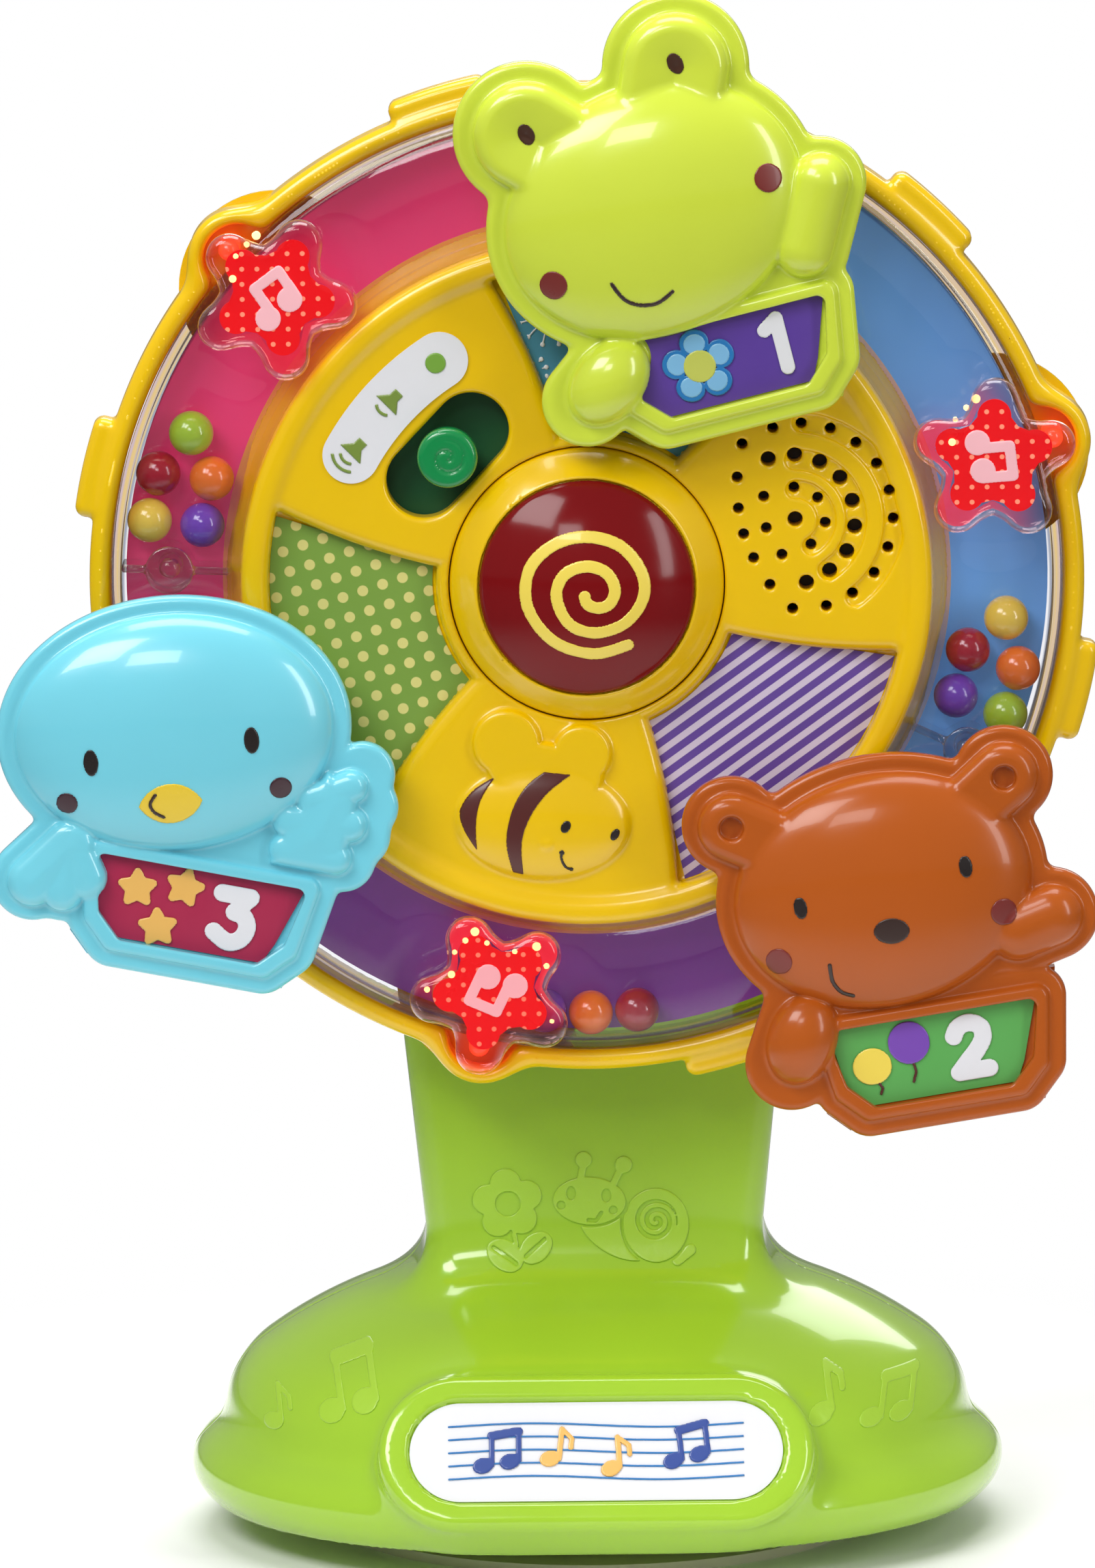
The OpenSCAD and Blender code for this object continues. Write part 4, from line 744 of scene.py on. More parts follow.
def hub_field(x, y, z):
    r = np.hypot(x, y)
    d = slab(np.maximum(r - 47.2, 20.12 - r), z, 28, ISLAND_F, 0.4)
    d = carve(d, slab(pocket_plan(x, y), z, POCKET_F, 40, 0), 2.2)
    wall = slab(np.abs(r - 48.5) - 1.8, z, 23, HUB_TOP_F, 1.5)
    d = blend(d, wall, 1.6)
    skirt = (r - 50.3 - np.clip((31 - z) * 0.34, 0, 2.4)) * 0.94
    d = blend(d, overlap(skirt, 47 - r, 23.9 - z, z - 32), 0.6)
    bee = dome(x, y, z, BEE_AT, (12.9, 8.5), 2.8, ISLAND_F - 0.2, BEE_TILT)
    wings = union(circle(x, y, (-6.2, -25.4), 4.9), circle(x, y, (4.9, -24.4), 4.2),
                  capsule(x, y, (-5, -28), (5, -27.4), 3.6))
    d = blend(blend(d, slab(wings, z, 30, ISLAND_F + 1.3, 0.7), 0.7), bee, 0.5)
    d = d - 0.2 * np.clip((1.05 - np.hypot(x - 2.84, y + 38.43)) / 0.4, 0, 1) * (z > 33)
    sx, sy = turned(x, y, SWITCH, 240)
    slot = np.hypot(np.maximum(np.abs(sx) - 5, 0), sy) - 5.5
    d = carve(d, slot, 0.9)
    for reach, first, last, half in GROOVES:
        groove = np.maximum(arc(x, y, SPEAKER, reach, first, last, half), r - 46.4)
        d = carve(d, slab(groove, z, ISLAND_F - 0.6, 40, 0), 0.35)
    holes = union(*(circle(x, y, p, 0.8) for p in SMALL_HOLES), *(circle(x, y, p, 1.1) for p in BIG_HOLES))
    return carve(d, holes, 0.35)


solid("hub_face_shell", hub_field, (-52, -52, 22), (52, 52, 37.5), 0.42, YELLOW, "wheel", on_wheel,
      replaces=("hub_face",), slot="yellow_plastic")


def rim_field(x, y, z):
    r = np.hypot(x, y)
    plan, pocket = r - 72.5, r - 69.4
    for a in STAR_ANGLES:
        plan = blend(plan, circle(x, y, polar(LOBE_AT, a), 7.2), 3.0)
        pocket = blend(pocket, circle(x, y, polar(LOBE_AT, a), 5.0), 2.0)
    plan = np.maximum(plan, -pocket)
    a = np.abs(np.mod(np.degrees(np.arctan2(y, x)) - 30, 60) - 30)
    out, side = r - 75.3 + 1.6, r * np.radians(a - 5.77) + 1.6
    pad = np.minimum(np.maximum(out, side), 0) + np.hypot(np.maximum(out, 0), np.maximum(side, 0)) - 1.6
    d = slab(plan, z, 22, 30, 1.5)
    return blend(d, slab(np.maximum(pad, 70.2 - r), z, 23.6, 29.2, 1.4), 0.9)


solid("outer_rim_band", rim_field, (-79, -79, 21), (79, 79, 31.5), 0.45, YELLOW, "wheel", on_wheel,
      replaces=("outer_rim",), slot="yellow_plastic")


def button_ball(x, y, z):
    """The ball that the button's dome is part of."""
    return np.sqrt(x ** 2 + y ** 2 + (z - BALL_F) ** 2) - BALL_R


def button_field(x, y, z):
    r = np.hypot(x, y)
    ball = button_ball(x, y, z)
    d = -blend(-ball, -(r - 20.0), 0.7)
    d = np.maximum(d, 29.4 - z)
    seat = np.maximum(r - 15.85, -0.82 - ball)
    return carve(d, np.maximum(seat, 33 - z), 0.3)


solid("button_dome", button_field, (-21.5, -21.5, 28.5), (21.5, 21.5, 43.5), 0.36, YELLOW, "button", on_wheel,
      replaces=("button_cap",), slot="yellow_plastic")


def disc_field(x, y, z):
    ball = button_ball(x, y, z)
    return -blend(-np.maximum(ball, -0.8 - ball), 15.7 - np.hypot(x, y), 0.7)


solid("button_disc_red", disc_field, (-17, -17, 35), (17, 17, 43), 0.25, RED, "button", on_wheel,
      replaces=("button_disc",), slot="red_plastic")


SPIRAL = [
    (5.9, -8.0), (0.8, -9.2), (-5.0, -7.2), (-8.6, -2.2), (-8.3, 3.2), (-4.8, 6.8), (0.0, 8.0), (4.9, 6.6),
    (7.9, 2.9), (8.2, -1.0), (5.6, -4.6), (1.2, -6.0), (-2.6, -4.6), (-4.4, -0.6), (-3.2, 2.6), (0.0, 3.8),
    (2.9, 2.8), (4.1, 0.4), (3.3, -1.7), (1.6, -2.3), (0.1, -1.7), (-0.3, -0.6),
]


def spiral_plan(x, y):
    """A line that winds inward on the disc."""
    x, y = turned(x, y, (0, 0), -WHEEL_TURN)
    return path(x, y, through(SPIRAL), 0.88)


decal("button_spiral", spiral_plan, (-12, -12), (12, 12), SUN, "button",
      draped(button_ball, 34, 44, on_wheel))


def knob_field(x, y, z):
    kx, ky = turned(x, y, SWITCH, 240)
    r = np.hypot(kx, ky)
    d = union(slab(r - 3.4, z, 27.8, 33.5, 0.3), slab(r - 4.4, z, ISLAND_F, 36.2, 1.0))
    curl = np.mod(r - 0.9 * (np.arctan2(ky, kx) + math.pi) / math.pi, 1.8)
    return d + 0.25 * np.clip(1 - np.abs(curl - 0.9) / 0.35, 0, 1) * np.clip((2.9 - r) / 0.4, 0, 1) * (z > 35)


solid("volume_knob_cap", knob_field, (SWITCH[0] - 6, SWITCH[1] - 6, 27), (SWITCH[0] + 6, SWITCH[1] + 6, 37.5),
      0.25, KNOB, "volume_switch", on_wheel, replaces=("volume_knob",), slot="knob_plastic")


def cover_field(x, y, z):
    """The clear cover: a rounded sheet over the track, with a wall at the hub and one at the rim."""
    r = np.hypot(x, y)
    near = np.ones(np.broadcast(x, y).shape)
    for a in STAR_ANGLES:
        near = np.minimum(near, np.clip(circle(x, y, polar(STAR_AT, a), 12.0) / 5.0, 0, 1))
    t = np.clip((r - 59.85) / 9.6, -1, 1)
    rise = 2.6 * np.sqrt(1 - t * t) - 1.9
    top = COVER_F + np.where(rise < 0, rise, near * near * (3 - 2 * near) * rise)
    sheet = overlap(z - top, top - 1.0 - z, r - 69.2, 50.5 - r)
    walls = union(overlap(np.abs(r - 51.1) - 0.6, CHANNEL_F - z, z - top + 0.3),
                  overlap(np.abs(r - 68.6) - 0.6, 22 - z, z - top + 0.3))
    d = blend(sheet, walls, 0.5)
    for a in PIN_ANGLES.values():
        d = np.maximum(d, -circle(x, y, polar(PIN_AT, a), COLLAR_R + 0.4))
    return d


solid("track_cover_clear", cover_field, (-70, -70, 21), (70, 70, 34.5), 0.45, CLEAR, "wheel", on_wheel,
      replaces=("bead_track_cover",), slot="clear_plastic")


def divider_field(x, y, z):
    """A hollow post with a fin to each side, standing between two thirds of the track."""
    post = overlap(circle(x, y, (60.8, 0), DIVIDER_R), CHANNEL_F + 0.3 - z, z - COVER_F + 0.9)
    fins = overlap(np.abs(y) - 0.55, 52 - x, x - 67.8, CHANNEL_F + 0.3 - z, z - COVER_F + 1.6)
    bore = np.sqrt((x - 60.8) ** 2 + y ** 2 + np.maximum(z - 28.5, 0) ** 2) - 1.7
    return carve(blend(post, fins, 0.6), bore, 0.2)


def at_divider(a):
    def place(p):
        x, y = turned(p[:, 0], p[:, 1], (0, 0), -a)
        return on_wheel(np.stack([x, y, p[:, 2]], 1))
    return place


DIVIDERS = [a + side * DIVIDER_ANGLE for a in STAR_ANGLES for side in (-1, 1)]
for i, a in enumerate(DIVIDERS):
    solid(f"track_divider_{i + 1}", divider_field, (51, -4.5, 23), (69, 4.5, 32.5), 0.35, DIVIDER, "wheel",
          at_divider(a), slot="clear_plastic")


def star_note(x, y, at, degrees):
    """The plump beamed pair of notes printed on a star."""
    u, v = turned(x, y, at, degrees)
    u, v = u + 2.2, v + 2.4
    return union(circle(u, v, (-0.2, 0), 1.85), circle(u, v, (3.9, 0.9), 1.85),
                 path(u, v, [(0.6, 0.8), (0.2, 4.7), (4.5, 5.3), (4.9, 1.4)], 0.8))


GLINTS = [
    (-2.5, 8.9, 0.65), (-3.9, 7.6, 0.45), (-5.5, 5.9, 0.4), (-6.0, 2.6, 0.55), (-9.6, 0.4, 0.45),
    (-0.75, 7.2, 0.4), (6.5, 6.6, 0.65), (3.3, 5.9, 0.4), (7.9, 3.7, 0.45), (8.6, -4.5, 0.35),
]


def glint_plan(at, count):
    """Glints of a lit lamp round a star's print, placed as seen upright."""
    def plan(x, y):
        u, v = turned(x, y, at, -WHEEL_TURN)
        return union(*(circle(u, v, (gx, gy), s) for gx, gy, s in GLINTS[:count]))
    return plan


def around(at, reach):
    """Two opposite corners round a point."""
    return tuple(v - reach for v in at), tuple(v + reach for v in at)


def add_star(number, a):
    """A clear lens, with the note, glow and glints that show through it."""
    at, lit = polar(STAR_AT, a), a == LIT_STAR
    low, high = around(at, 13.5)
    inner, outer = around(at, 13)

    def lens(x, y, z):
        return slab(plump_star(x, y, at, a), z, COVER_F + 0.35, 36.5, 1.7)

    def halo(x, y):
        return np.maximum(plump_star(x, y, at, a) + 0.6, -plump_star(x, y, at, a, 8.8, 2.5, 5.6))

    piece = solid(f"star_lens_{number}", lens, low + (31.5,), high + (38,), 0.35, LENS_LIT if lit else LENS,
                  "wheel", on_wheel, slot="clear_plastic")
    if number == 1:
        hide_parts("star_lenses")
    decal(f"star_note_{number}", lambda x, y: star_note(x, y, at, a - 108), *around(at, 6), BLUSH, "wheel",
          at_depth(COVER_F + 0.42, on_wheel), 0.18)
    decal(f"star_glow_{number}", halo, inner, outer, GLOW_LIT if lit else GLOW, "wheel",
          at_depth(COVER_F + 0.16, on_wheel), 0.2)
    decal(f"star_glints_{number}", glint_plan(at, 10 if lit else 4), inner, outer, SPARK, "wheel",
          at_depth(COVER_F + 0.5, on_wheel), 0.18)


for i, a in enumerate(STAR_ANGLES):
    add_star(i + 1, a)

GOLD, VIOLET, RUBY = (248, 212, 84), (122, 70, 190), (172, 24, 44)
CORAL, LEAF = (250, 124, 36), (172, 208, 60)
BEADS = {
    "red": [(64.3, 185.24, GOLD), (56.6, 184.92, VIOLET), (64.3, 179.0, RUBY), (56.6, 177.84, CORAL),
            (61.45, 172.56, LEAF)],
    "blue": [(64.3, -5.24, LEAF), (56.6, -4.92, VIOLET), (64.3, 1.0, CORAL), (56.6, 2.16, RUBY),
             (61.45, 7.44, GOLD)],
    "purple": [(64.3, 265.2 + 6.06 * i, rgb) for i, rgb in enumerate((GOLD, LEAF, VIOLET, CORAL, RUBY))],
}


def add_bead(third, number, at, rgb):
    """A bead with a fine moulding seam."""
    def field(x, y, z):
        ball = np.sqrt((x - at[0]) ** 2 + (y - at[1]) ** 2 + (z - at[2]) ** 2)
        return ball - 3.27 - 0.03 * np.clip(1 - np.abs(x - at[0]) / 0.25, 0, 1)

    paint = moulded(f"bead_{third}_{number}_paint", rgb, rough=0.16, soft=0.1)
    piece = solid(f"bead_{third}_{number}", field, *around(at, 4), 0.4, paint, f"{third}_track_beads",
                  on_wheel, slot="bead_plastic")
    if number == 1:
        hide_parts(f"beads_{third}")


for third, beads in BEADS.items():
    for i, (r, a, rgb) in enumerate(beads):
        add_bead(third, i + 1, polar(r, a) + (27.25,), rgb)


# Prints on the hub

def bee_mark(plan, name, low, high, material):
    decal(name, plan, low, high, material, "wheel", draped(hub_field, 32, 37, on_wheel))


REAR_STRIPE = (through([(-6.5, -30.1), (-9.4, -31.6), (-10.7, -35.2), (-10.4, -37.6), (-9.0, -39.7),
                        (-6.9, -41.7)])
               + through([(-6.9, -41.7), (-7.8, -38.5), (-8.15, -35.5), (-7.7, -33.0), (-6.5, -30.1)])[1:-1])
FRONT_STRIPE = (through([(0.0, -28.2), (-2.2, -31.0), (-3.3, -35.0), (-3.0, -39.6), (-1.1, -43.7)])
                + through([(0.5, -43.7), (-0.8, -39.1), (-0.5, -35.0), (1.2, -31.0), (4.0, -27.7)]))


def bee_stripes(x, y):
    bands = union(polygon(x, y, REAR_STRIPE), polygon(x, y, FRONT_STRIPE))
    return np.maximum(bands, oval(x, y, BEE_AT, (12.4, 8.1), BEE_TILT))


def bee_face(x, y):
    smile = path(x, y, through([(5.2, -39.1), (5.35, -40.0), (6.2, -41.1), (7.15, -41.3)]), 0.2)
    ends = union(circle(x, y, (5.2, -39.1), 0.4), circle(x, y, (7.15, -41.3), 0.32))
    eyes = union(oval(x, y, (4.9, -35.2), (0.68, 0.95), -15), oval(x, y, (12.2, -34.9), (0.6, 0.95), -15))
    return union(eyes, smile, ends)


bee_mark(bee_stripes, "bee_stripes", (-13, -46), (6, -26), BROWN)
bee_mark(bee_face, "bee_face", (3.5, -43), (14, -33), BLACK)


SIGNS_AT, SIGN_SIZE = 39.1, 1.3


def switch_marks(x, y):
    """Two loudspeaker signs along the switch's label."""
    marks = []
    for a, arcs in ((150, 1), (163, 2)):
        u, v = turned(x / SIGN_SIZE, y / SIGN_SIZE, polar(SIGNS_AT / SIGN_SIZE, a), 238)
        horn = polygon(u, v, [(-1.6, -0.6), (-0.7, -0.6), (0.5, -1.6), (0.5, 1.6), (-0.7, 0.6), (-1.6, 0.6)])
        waves = [np.maximum(np.abs(np.hypot(u - 0.2, v) - 1.3 - 0.9 * k) - 0.18, np.abs(v) - (u - 0.2) * 0.9)
                 for k in range(arcs)]
        marks.append(union(horn, *waves))
    return union(*marks)


dot = polar(SIGNS_AT, 137)
on_switch_label = at_depth(ISLAND_F + 0.32, on_wheel)
decal("switch_signs", switch_marks, (-42, 6), (-28, 24), MOSS, "wheel", on_switch_label, 0.15)
decal("switch_dot", lambda x, y: circle(x, y, dot, 1.5), *around(dot, 2), OLIVE, "wheel",
      on_switch_label, 0.15)

BURSTS = [(-14, 37, 4.6), (-3, 29, 4.2), (8, 36, 4.8), (17, 40, 3.6), (-8, 43.5, 3.2), (6, 25, 2.6),
          (-15, 28, 2.6)]


def burst_plan(x, y):
    """White bursts of fine rays with dots on their ends."""
    out = []
    for bx, by, r in BURSTS:
        u, v = x - bx, y - by
        a = np.mod(np.arctan2(v, u) + math.pi / 12, math.pi / 6) - math.pi / 12
        d = np.hypot(u, v)
        out.append(union(np.hypot(np.maximum(np.abs(d - r * 0.5) - r * 0.5, 0), d * np.sin(a)) - 0.12,
                         np.hypot(d * np.cos(a) - r, d * np.sin(a)) - 0.36))
    return np.maximum(union(*out), pocket_plan(x, y) + 0.7)


decal("sticker_bursts", burst_plan, (-26, 21), (26, 47), WHITE, "wheel",
      at_depth(POCKET_F + 0.32, on_wheel), 0.17)


# Gondolas

DIGITS = {
    1: ([(-1.3, 2.3), (0.7, 3.6), (0.7, -3.7)], 1.05),
    2: (through([(-2.1, 1.9), (-1.3, 3.1), (0.3, 3.6), (1.9, 2.8), (2.1, 1.2), (1.0, -0.5), (-0.8, -2.2)])
        + [(-2.1, -3.5), (2.3, -3.5)], 1.3),
    3: ([(-2.1, 3.4), (2.1, 3.4)]
        + through([(0.1, 0.9), (1.6, 0.4), (2.3, -1.1), (1.6, -2.9), (-0.2, -3.6), (-2.4, -2.4)]), 1.3),
}


def digit_plan(value, at):
    def plan(x, y):
        line, r = DIGITS[value]
        return path(x - at[0], y - at[1], line, r)
    return plan


TRAY_AT = {"frog": (1, -25.7), "bear": (2.5, -28), "bird": (5.6, -28.6)}
BORDER, HEAD_RISE = 2.6, 6.5
TRAY = [(-15.5, 6.1), (-14.0, -3.1), (-11.0, -6.1), (11.0, -6.1), (14.0, -3.1), (15.5, 6.1)]


def tray_plan(x, y, at):
    return polygon(x - at[0], y - at[1], TRAY)


def tray_window(x, y, at):
    """The opening over the label, with round corners."""
    corners = [(px - math.copysign(1.4, px), py - math.copysign(1.25, py)) for px, py in TRAY]
    return polygon(x - at[0], y - at[1], corners) - 1.25


def head_plan(x, y, head):
    at, size, degrees = head
    return oval(x, y, at, (size[0] + BORDER, size[1] + BORDER), degrees)


def head_dome(x, y, z, head):
    at, size, degrees = head
    return dome(x, y, z, at, size, HEAD_RISE, PLATE_F, degrees)


def seated(plan, x, y, z, animal):
    """The plate behind a head and its hands, with the tray's raised frame and the recess for its label."""
    at = TRAY_AT[animal]
    tray = tray_plan(x, y, at)
    d = slab(blend(plan, tray - 4.4, 1.0), z, SPLIT_F, PLATE_F, 1.0)
    d = blend(d, slab(tray - 1.8, z, SPLIT_F, PLATE_F + 1.2, 0.8), 0.6)
    return carve(d, slab(tray_window(x, y, at), z, LABEL_F, 50, 0), 0.3)


def raised(plan, z, height, r):
    """A form that stands on the plate, rooted in it."""
    return slab(plan, z, PLATE_F - 6, PLATE_F + height, r)


def rod(x, y, z, p, q, r, base, squash=1.0):
    """A round-ended bar lying on the plate."""
    px, py, dx, dy = x - p[0], y - p[1], q[0] - p[0], q[1] - p[1]
    t = np.clip((px * dx + py * dy) / (dx * dx + dy * dy), 0, 1)
    return np.sqrt((px - t * dx) ** 2 + (py - t * dy) ** 2 + ((z - base) / squash) ** 2) - r


FROG_HEAD = ((-4.4, -1.8), (22.2, 18.0), 11)
FROG_EYES = [(3.9, 17.4), (-19.4, 13.2)]
FROG_HANDS = [((20, -4), (15.4, -12.5)), ((-14.1, -21.6), (-20.5, -26.5))]


def frog_field(x, y, z):
    plan = head_plan(x, y, FROG_HEAD)
    for e in FROG_EYES:
        eye = union(circle(x, y, e, 8 + BORDER), capsule(x, y, e, FROG_HEAD[0], 7.4 + BORDER))
        plan = blend(plan, eye, 1.5)
    for p, q in FROG_HANDS:
        plan = blend(plan, capsule(x, y, p, q, 4 + BORDER), 1.5)
    d = seated(plan, x, y, z, "frog")
    for e in FROG_EYES:
        pillow = capsule(x, y, e, FROG_HEAD[0], 7.7)
        d = blend(d, raised(pillow, z, 2.9 - 0.022 * pillow ** 2 * (pillow < 0), 2.4), 0.7)
    d = blend(d, head_dome(x, y, z, FROG_HEAD), 0.6)
    d = blend(d, rod(x, y, z, *FROG_HANDS[0], 4.3, PLATE_F, 0.9), 0.6)
    return blend(d, dome(x, y, z, (-16.8, -24.4), (7.0, 5.2), 4.2, PLATE_F, 37), 0.6)


BEAR_HEAD = ((-1.5, -2.6), (21.8, 17.1), 4)
BEAR_EARS = [(-21.6, 10.2), (18.6, 11)]
BEAR_HANDS = [((17, -11.6), (22.2, -10.4)), ((-15, -18.9), (-18.7, -26))]


def bear_field(x, y, z):
    plan = head_plan(x, y, BEAR_HEAD)
    for e in BEAR_EARS:
        plan = blend(plan, circle(x, y, e, 4.6 + BORDER), 1.5)
    for p, q in BEAR_HANDS:
        plan = blend(plan, capsule(x, y, p, q, 4.2 + BORDER), 1.5)
    d = seated(plan, x, y, z, "bear")
    for e in BEAR_EARS:
        d = blend(d, raised(capsule(x, y, e, BEAR_HEAD[0], 4.9), z, 2.5, 2.1), 0.6)
    d = blend(d, rod(x, y, z, *BEAR_HANDS[0], 4.5, PLATE_F, 0.75), 0.6)
    d = blend(d, dome(x, y, z, (-16.6, -22.4), (6.8, 5.1), 4.2, PLATE_F, 62), 0.6)
    d = blend(d, head_dome(x, y, z, BEAR_HEAD), 0.6)
    for e in BEAR_EARS:
        d = carve(d, slab(circle(x, y, e, 1.75), z, PLATE_F + 1.0, 60, 0), 0.6)
    return d


BIRD_HEAD = ((-2, -3.2), (23.2, 17.2), 15)
BIRD_WING = ((-13.8, -22.2), (-18.4, -28.4))
BIRD_FAN = ((16, -12), (22.6, -11.2))
WING_TIPS = [(-13.9, -28.9), (-10.9, -26.6)]
FAN_TIPS = [(26, -4.6), (27.3, -9.2), (26.9, -13.6), (25.4, -17.4)]
FAN_LOBES = [((19.5, -9.5), (24.7, -6.5), 2.45), ((17, -13), (25.4, -12.0), 2.65),
             ((17, -17.2), (24.3, -17.2), 2.45)]
FAN = [(16, -13), (21, -5), (25.8, -6.5), (26.4, -12), (25.6, -17), (23, -19.6), (15, -19.6)]


def bird_field(x, y, z):
    plan = head_plan(x, y, BIRD_HEAD)
    plan = blend(plan, capsule(x, y, *BIRD_WING, 3.4 + BORDER), 1.2)
    plan = blend(plan, capsule(x, y, *BIRD_FAN, 6 + BORDER), 1.2)
    for e in WING_TIPS + FAN_TIPS:
        plan = blend(plan, circle(x, y, e, 2.2 + BORDER), 0.8)
    d = seated(plan, x, y, z, "bird")
    fan = union(polygon(x, y, FAN), *(capsule(x, y, p, q, s) for p, q, s in FAN_LOBES))
    d = blend(d, raised(fan, z, 1.8 + 0.1 * np.clip(-fan, 0, 5), 1.5), 0.6)
    wing = union(capsule(x, y, *BIRD_WING, 3.7), *(capsule(x, y, BIRD_WING[0], e, 3.1) for e in WING_TIPS))
    d = blend(d, raised(wing, z, 1.9 + 0.15 * np.clip(-wing, 0, 4), 1.6), 0.6)
    return blend(d, head_dome(x, y, z, BIRD_HEAD), 0.6)


GONDOLAS = {"frog": (frog_field, FROG), "bear": (bear_field, BEAR), "bird": (bird_field, BIRD)}
for animal, (field, paint) in GONDOLAS.items():
    solid(f"{animal}_front", field, (-34, -44, 37.5), (34, 32, 49.5), 0.36, paint, animal, on_pin(animal),
          replaces=(f"{animal}_front_shell",), slot=f"{animal}_plastic")


def face(animal, name, plan, low, high, material, lift=0.0):
    """A print on an animal, lifted over one that lies below it."""
    def field(x, y, z):
        return GONDOLAS[animal][0](x, y, z - lift)
    decal(f"{animal}_{name}", plan, low, high, material, animal, draped(field, 39, 50, on_pin(animal)))


def tray_mark(animal, name, plan, low, high, material, lift=0.42):
    place = at_depth(LABEL_F + lift, on_pin(animal))
    decal(f"{animal}_{name}", plan, low, high, material, animal, place, 0.18)


def spots(points, size, degrees=0):
    return lambda x, y: union(*(oval(x, y, p, size, degrees) for p in points))


def stroke(points, r):
    """A smooth line of ink."""
    return lambda x, y: path(x, y, through(points), r)


FROG_SMILE = [(-12.7, -10.1), (-11.6, -12.6), (-9.7, -14.1), (-7.0, -14.5), (-4.5, -13.4)]
BEAR_SMILE = [(-10.8, -11.5), (-10.8, -14), (-9.8, -15.9), (-8.2, -16.8)]
BEAK_LINE = [(-3.0, -11.9), (-3.5, -13.4), (-2.7, -14.5), (-1.2, -15.0)]
face("frog", "pupils", spots([(4, 18.1), (-19.3, 13.5)], (1.15, 1.6), 12), (-21, 11), (6, 21), UMBER)
face("frog", "cheeks", spots([(-20.9, -8.4), (12.9, -1.0)], (2.0, 2.1)), (-24, -11), (16, 2), CHEEK)
face("frog", "smile", stroke(FROG_SMILE, 0.3), (-14, -16), (-3, -9), NOSE)
face("bear", "eyes", spots([(-13.6, -2.4), (11, -0.4)], (1.0, 1.6)), (-15, -5), (13, 2), BLACK)
face("bear", "nose", spots([(-1.1, -7.8)], (2.6, 1.9), -6), (-4, -10), (2, -5), NOSE)
face("bear", "cheeks", spots([(-18, -10), (15.4, -8.2)], (1.9, 2.0)), (-21, -13), (18, -5), CHEEK)
face("bear", "smile", stroke(BEAR_SMILE, 0.3), (-12, -18), (-7, -10), NOSE)
face("bird", "eyes", spots([(-13, -9), (9.3, -1.5)], (1.1, 1.95), 14), (-15, -12), (12, 1.5), BLACK)
face("bird", "cheeks", spots([(-15.4, -15.8), (14.7, -7.9)], (1.6, 1.6)), (-18, -18), (17, -6), PLUM)


def beak_plan(x, y):
    u, v = turned(x, y, (-0.6, -12.8), 17)
    return np.maximum(np.hypot(u, v + 2.1), np.hypot(u, v - 2.1)) - 5.1


face("bird", "beak", beak_plan, (-7, -18), (6, -8), BEAK)
face("bird", "beak_line", stroke(BEAK_LINE, 0.25), (-5, -16), (0, -11), NOSE, 0.16)

FLOWER_AT = (-3.5, -25.5)
YELLOW_STRING = [(-6.6, -30.8), (-6.2, -31.6), (-6.6, -32.4)]
PURPLE_STRING = [(-1.2, -28.7), (-1.0, -30.0), (-1.6, -31.4)]
TRAY_STARS = [((-3.2, -26.8), 8), ((3.6, -25.5), -6), ((0.7, -32), 12)]


def petals(size, reach):
    angles = range(18, 361, 72)
    at = [np.add(FLOWER_AT, polar(reach, a)) for a in angles]
    return lambda x, y: union(*(oval(x, y, p, size, a) for p, a in zip(at, angles)))


def balloon_strings(x, y):
    return union(path(x, y, YELLOW_STRING, 0.2), path(x, y, PURPLE_STRING, 0.2))


def tray_stars(x, y):
    return union(*(star(x, y, p, 2.95, 0.6, 0.62, 90 + turn) for p, turn in TRAY_STARS))


tray_mark("frog", "number", digit_plan(1, (8.1, -25.1)), (4, -31.5), (12, -19.5), WHITE)
tray_mark("frog", "petals", petals((1.95, 2.15), 3.5), (-10, -32), (3, -19), SKY)
tray_mark("frog", "petal_lights", petals((1.5, 1.6), 3.3), (-9, -31), (2, -20), PALE_SKY, 0.48)
tray_mark("frog", "flower_eye", lambda x, y: circle(x, y, FLOWER_AT, 2.35), (-7, -29), (0, -22), POLLEN, 0.54)
tray_mark("bear", "number", digit_plan(2, (7.3, -27.7)), (2.5, -34), (12.5, -21.5), WHITE)
tray_mark("bear", "balloon_yellow", spots([(-7.2, -28.2)], (2.85, 2.7)), (-11, -32), (-3, -25), SUN)
tray_mark("bear", "balloon_purple", spots([(-1.4, -25.6)], (3.05, 3.15)), (-5, -30), (3, -21.5), GRAPE)
tray_mark("bear", "strings", balloon_strings, (-8, -34), (1, -28), BROWN)
tray_mark("bird", "number", digit_plan(3, (11.2, -28.7)), (6.5, -35), (16, -22.5), WHITE)
tray_mark("bird", "stars", tray_stars, (-7, -36), (7, -22), AMBER)


# Front label

def stave_plan(x, y):
    """Five wavy lines."""
    wave = y + 0.35 * np.sin(x * 0.16)
    return union(*(np.hypot(np.maximum(np.abs(x) - 21.5, 0), wave - 2.0 * k) - 0.14 for k in range(-2, 3)))


def label_notes(name, points, low, high, material):
    decal(name, lambda x, y: union(*(note(x, y, p, 1.5, turn, pair) for p, turn, pair in points)), low, high,
          material, "stand", at_depth(0.42, on_label), 0.2)


decal("label_stave", stave_plan, (-23, -5.5), (23, 5.5), SKY, "stand", at_depth(0.36, on_label), 0.16)
label_notes("label_notes_blue", [((-15, 0.2), 0, True), ((12.5, 0.8), 6, True)], (-20, -5), (19, 6), NAVY)
label_notes("label_notes_gold", [((-5, 1.0), -6, False), ((3.5, -0.3), 4, False)], (-9, -5), (8, 6), AMBER)


# Stage, light and camera

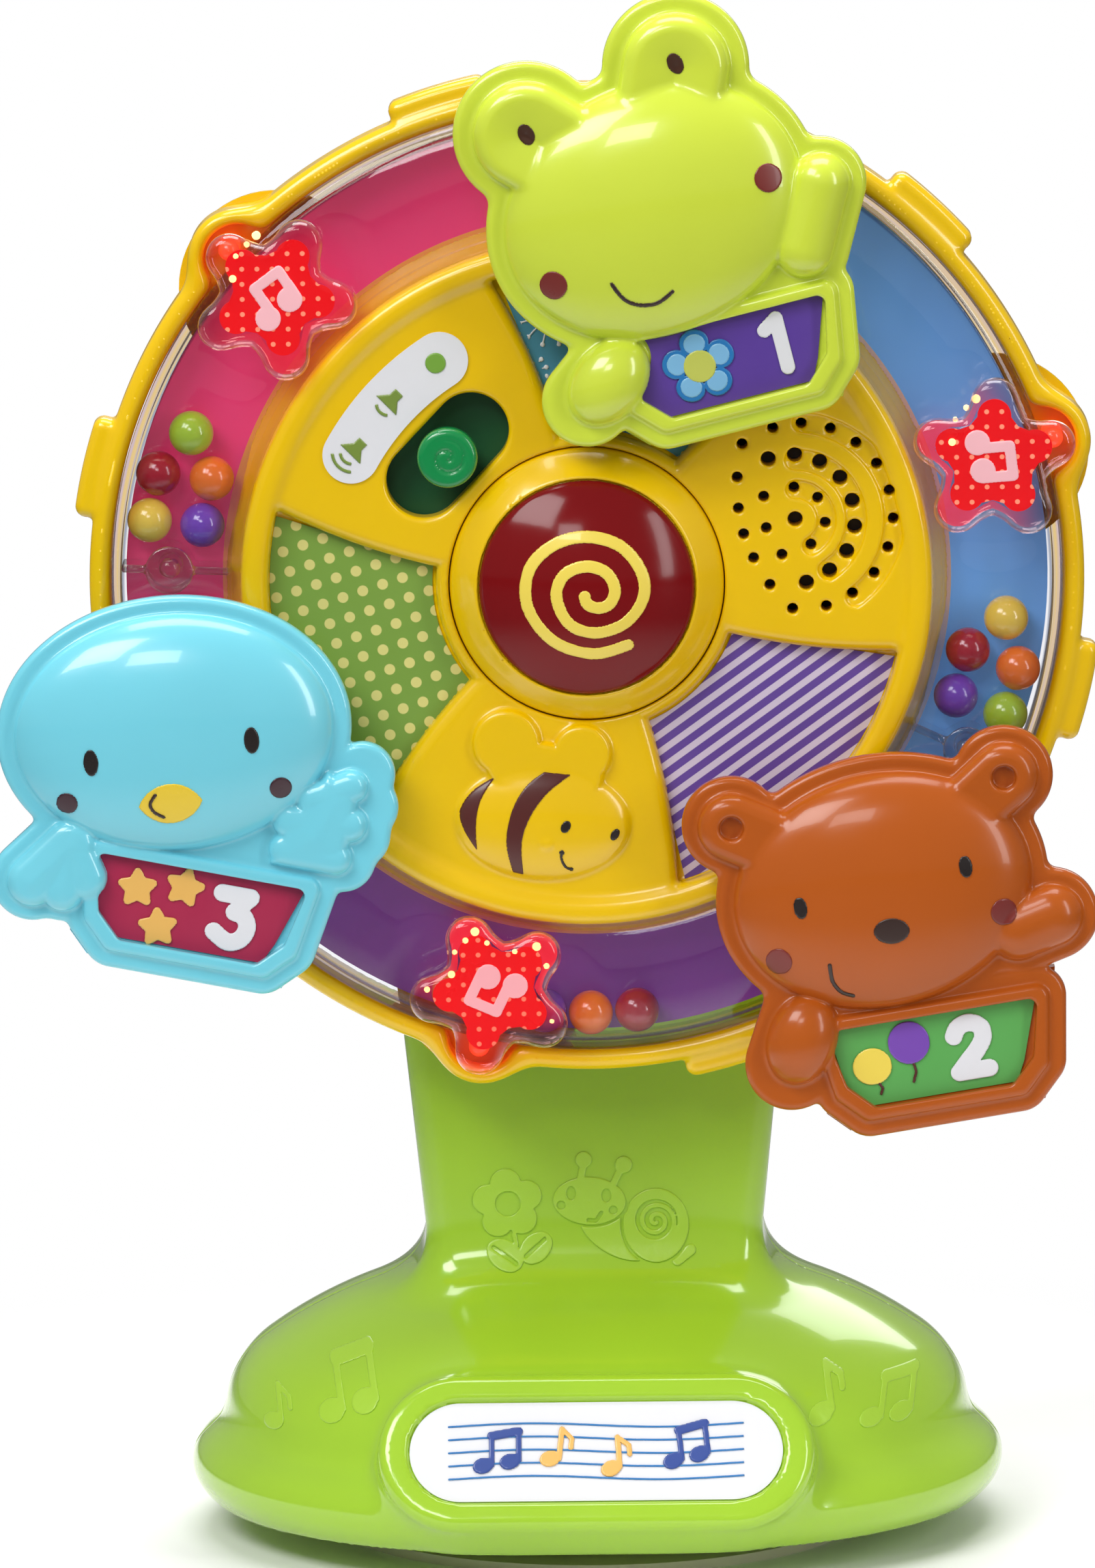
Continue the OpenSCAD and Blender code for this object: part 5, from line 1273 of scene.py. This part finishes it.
def lamp(name, at, target, size, power):
    light = bpy.data.lights.new(name, "AREA")
    light.shape, light.size, light.size_y, light.energy = "RECTANGLE", size[0], size[1], power
    o = bpy.data.objects.new(name, light)
    o.location = at
    o.rotation_euler = (Vector(target) - Vector(at)).to_track_quat("-Z", "Y").to_euler()
    bpy.context.scene.collection.objects.link(o)


def floor_paint():
    """Pale matt floor that keeps the shadow near the object and is plain white further out."""
    m = moulded("floor_paint", (246, 246, 246), rough=0.7, coat=0, grain=0.01, drift=0.01)
    t = m.node_tree
    where = node(t, "ShaderNodeTexCoord").outputs["Object"]
    away = node(t, "ShaderNodeVectorMath", {0: where}, operation="LENGTH").outputs["Value"]
    overlay(t, ranged(t, away, 0.12, 0.34, smooth=True), tinted(t, (96, 96, 100), 0.03, 3))
    rays = node(t, "ShaderNodeLightPath")
    seen = maths(t, "MULTIPLY", ranged(t, away, 0.09, 0.2, smooth=True), rays.outputs["Is Camera Ray"])
    white = node(t, "ShaderNodeEmission", {"Color": (1, 1, 1, 1), "Strength": 1.0})
    both = mixed(t, seen, t.nodes["Principled BSDF"], white)
    t.links.new(both.outputs[0], t.nodes["Material Output"].inputs["Surface"])
    return m


def floor_piece():
    mesh = bpy.data.meshes.new("floor")
    h = 6.0
    mesh.from_pydata([(-h, -h, 0), (h, -h, 0), (h, h, 0), (-h, h, 0)], [], [(0, 1, 2, 3)])
    mesh.materials.append(floor_paint())
    o = bpy.data.objects.new("floor", mesh)
    bpy.context.scene.collection.objects.link(o)


floor_piece()
aim = (0, 0, 0.12)
lamp("key", (-0.8, -0.95, 1.25), aim, (0.8, 0.6), 14.5)
lamp("window", (-0.26, -1.28, 0.88), aim, (0.36, 0.25), 2.4)
lamp("strip", (1.0, -0.8, 0.55), aim, (0.2, 0.9), 4.5)
lamp("top", (0.0, 0.0, 1.3), aim, (0.9, 0.6), 10)
lamp("back", (0.2, 1.1, 0.8), aim, (0.9, 0.6), 5)


def studio():
    """Even light from all round, and white behind the object."""
    world = bpy.data.worlds.new("studio")
    world.use_nodes = True
    t = world.node_tree
    t.nodes.clear()
    seen = node(t, "ShaderNodeLightPath").outputs["Is Camera Ray"]
    soft = node(t, "ShaderNodeBackground", {"Color": (1, 1, 1, 1), "Strength": 0.28})
    plain = node(t, "ShaderNodeBackground", {"Color": (1, 1, 1, 1), "Strength": 1.0})
    node(t, "ShaderNodeOutputWorld", {"Surface": mixed(t, seen, soft, plain).outputs[0]})
    bpy.context.scene.world = world


studio()
bpy.context.scene.view_settings.view_transform = "Standard"


def camera():
    """The photograph's view: long lens, a little above the wheel, leaning slightly."""
    eye = Vector((0.006453, -1.9, 0.417044))
    target = Vector((-0.006281, 0, 0.111276))
    forward = (target - eye).normalized()
    right = forward.cross(Vector((0, 0, 1))).normalized()
    up = right.cross(forward)
    lean = math.radians(-0.672)
    right, up = right * math.cos(lean) + up * math.sin(lean), up * math.cos(lean) - right * math.sin(lean)
    data = bpy.data.cameras.new("camera")
    data.lens, data.sensor_width, data.sensor_fit = 19001 / 2296 * 36, 36, "AUTO"
    data.clip_end = 20
    o = bpy.data.objects.new("camera", data)
    o.matrix_world = Matrix((right, up, -forward)).transposed().to_4x4()
    o.location = eye
    bpy.context.scene.collection.objects.link(o)
    bpy.context.scene.camera = o


camera()
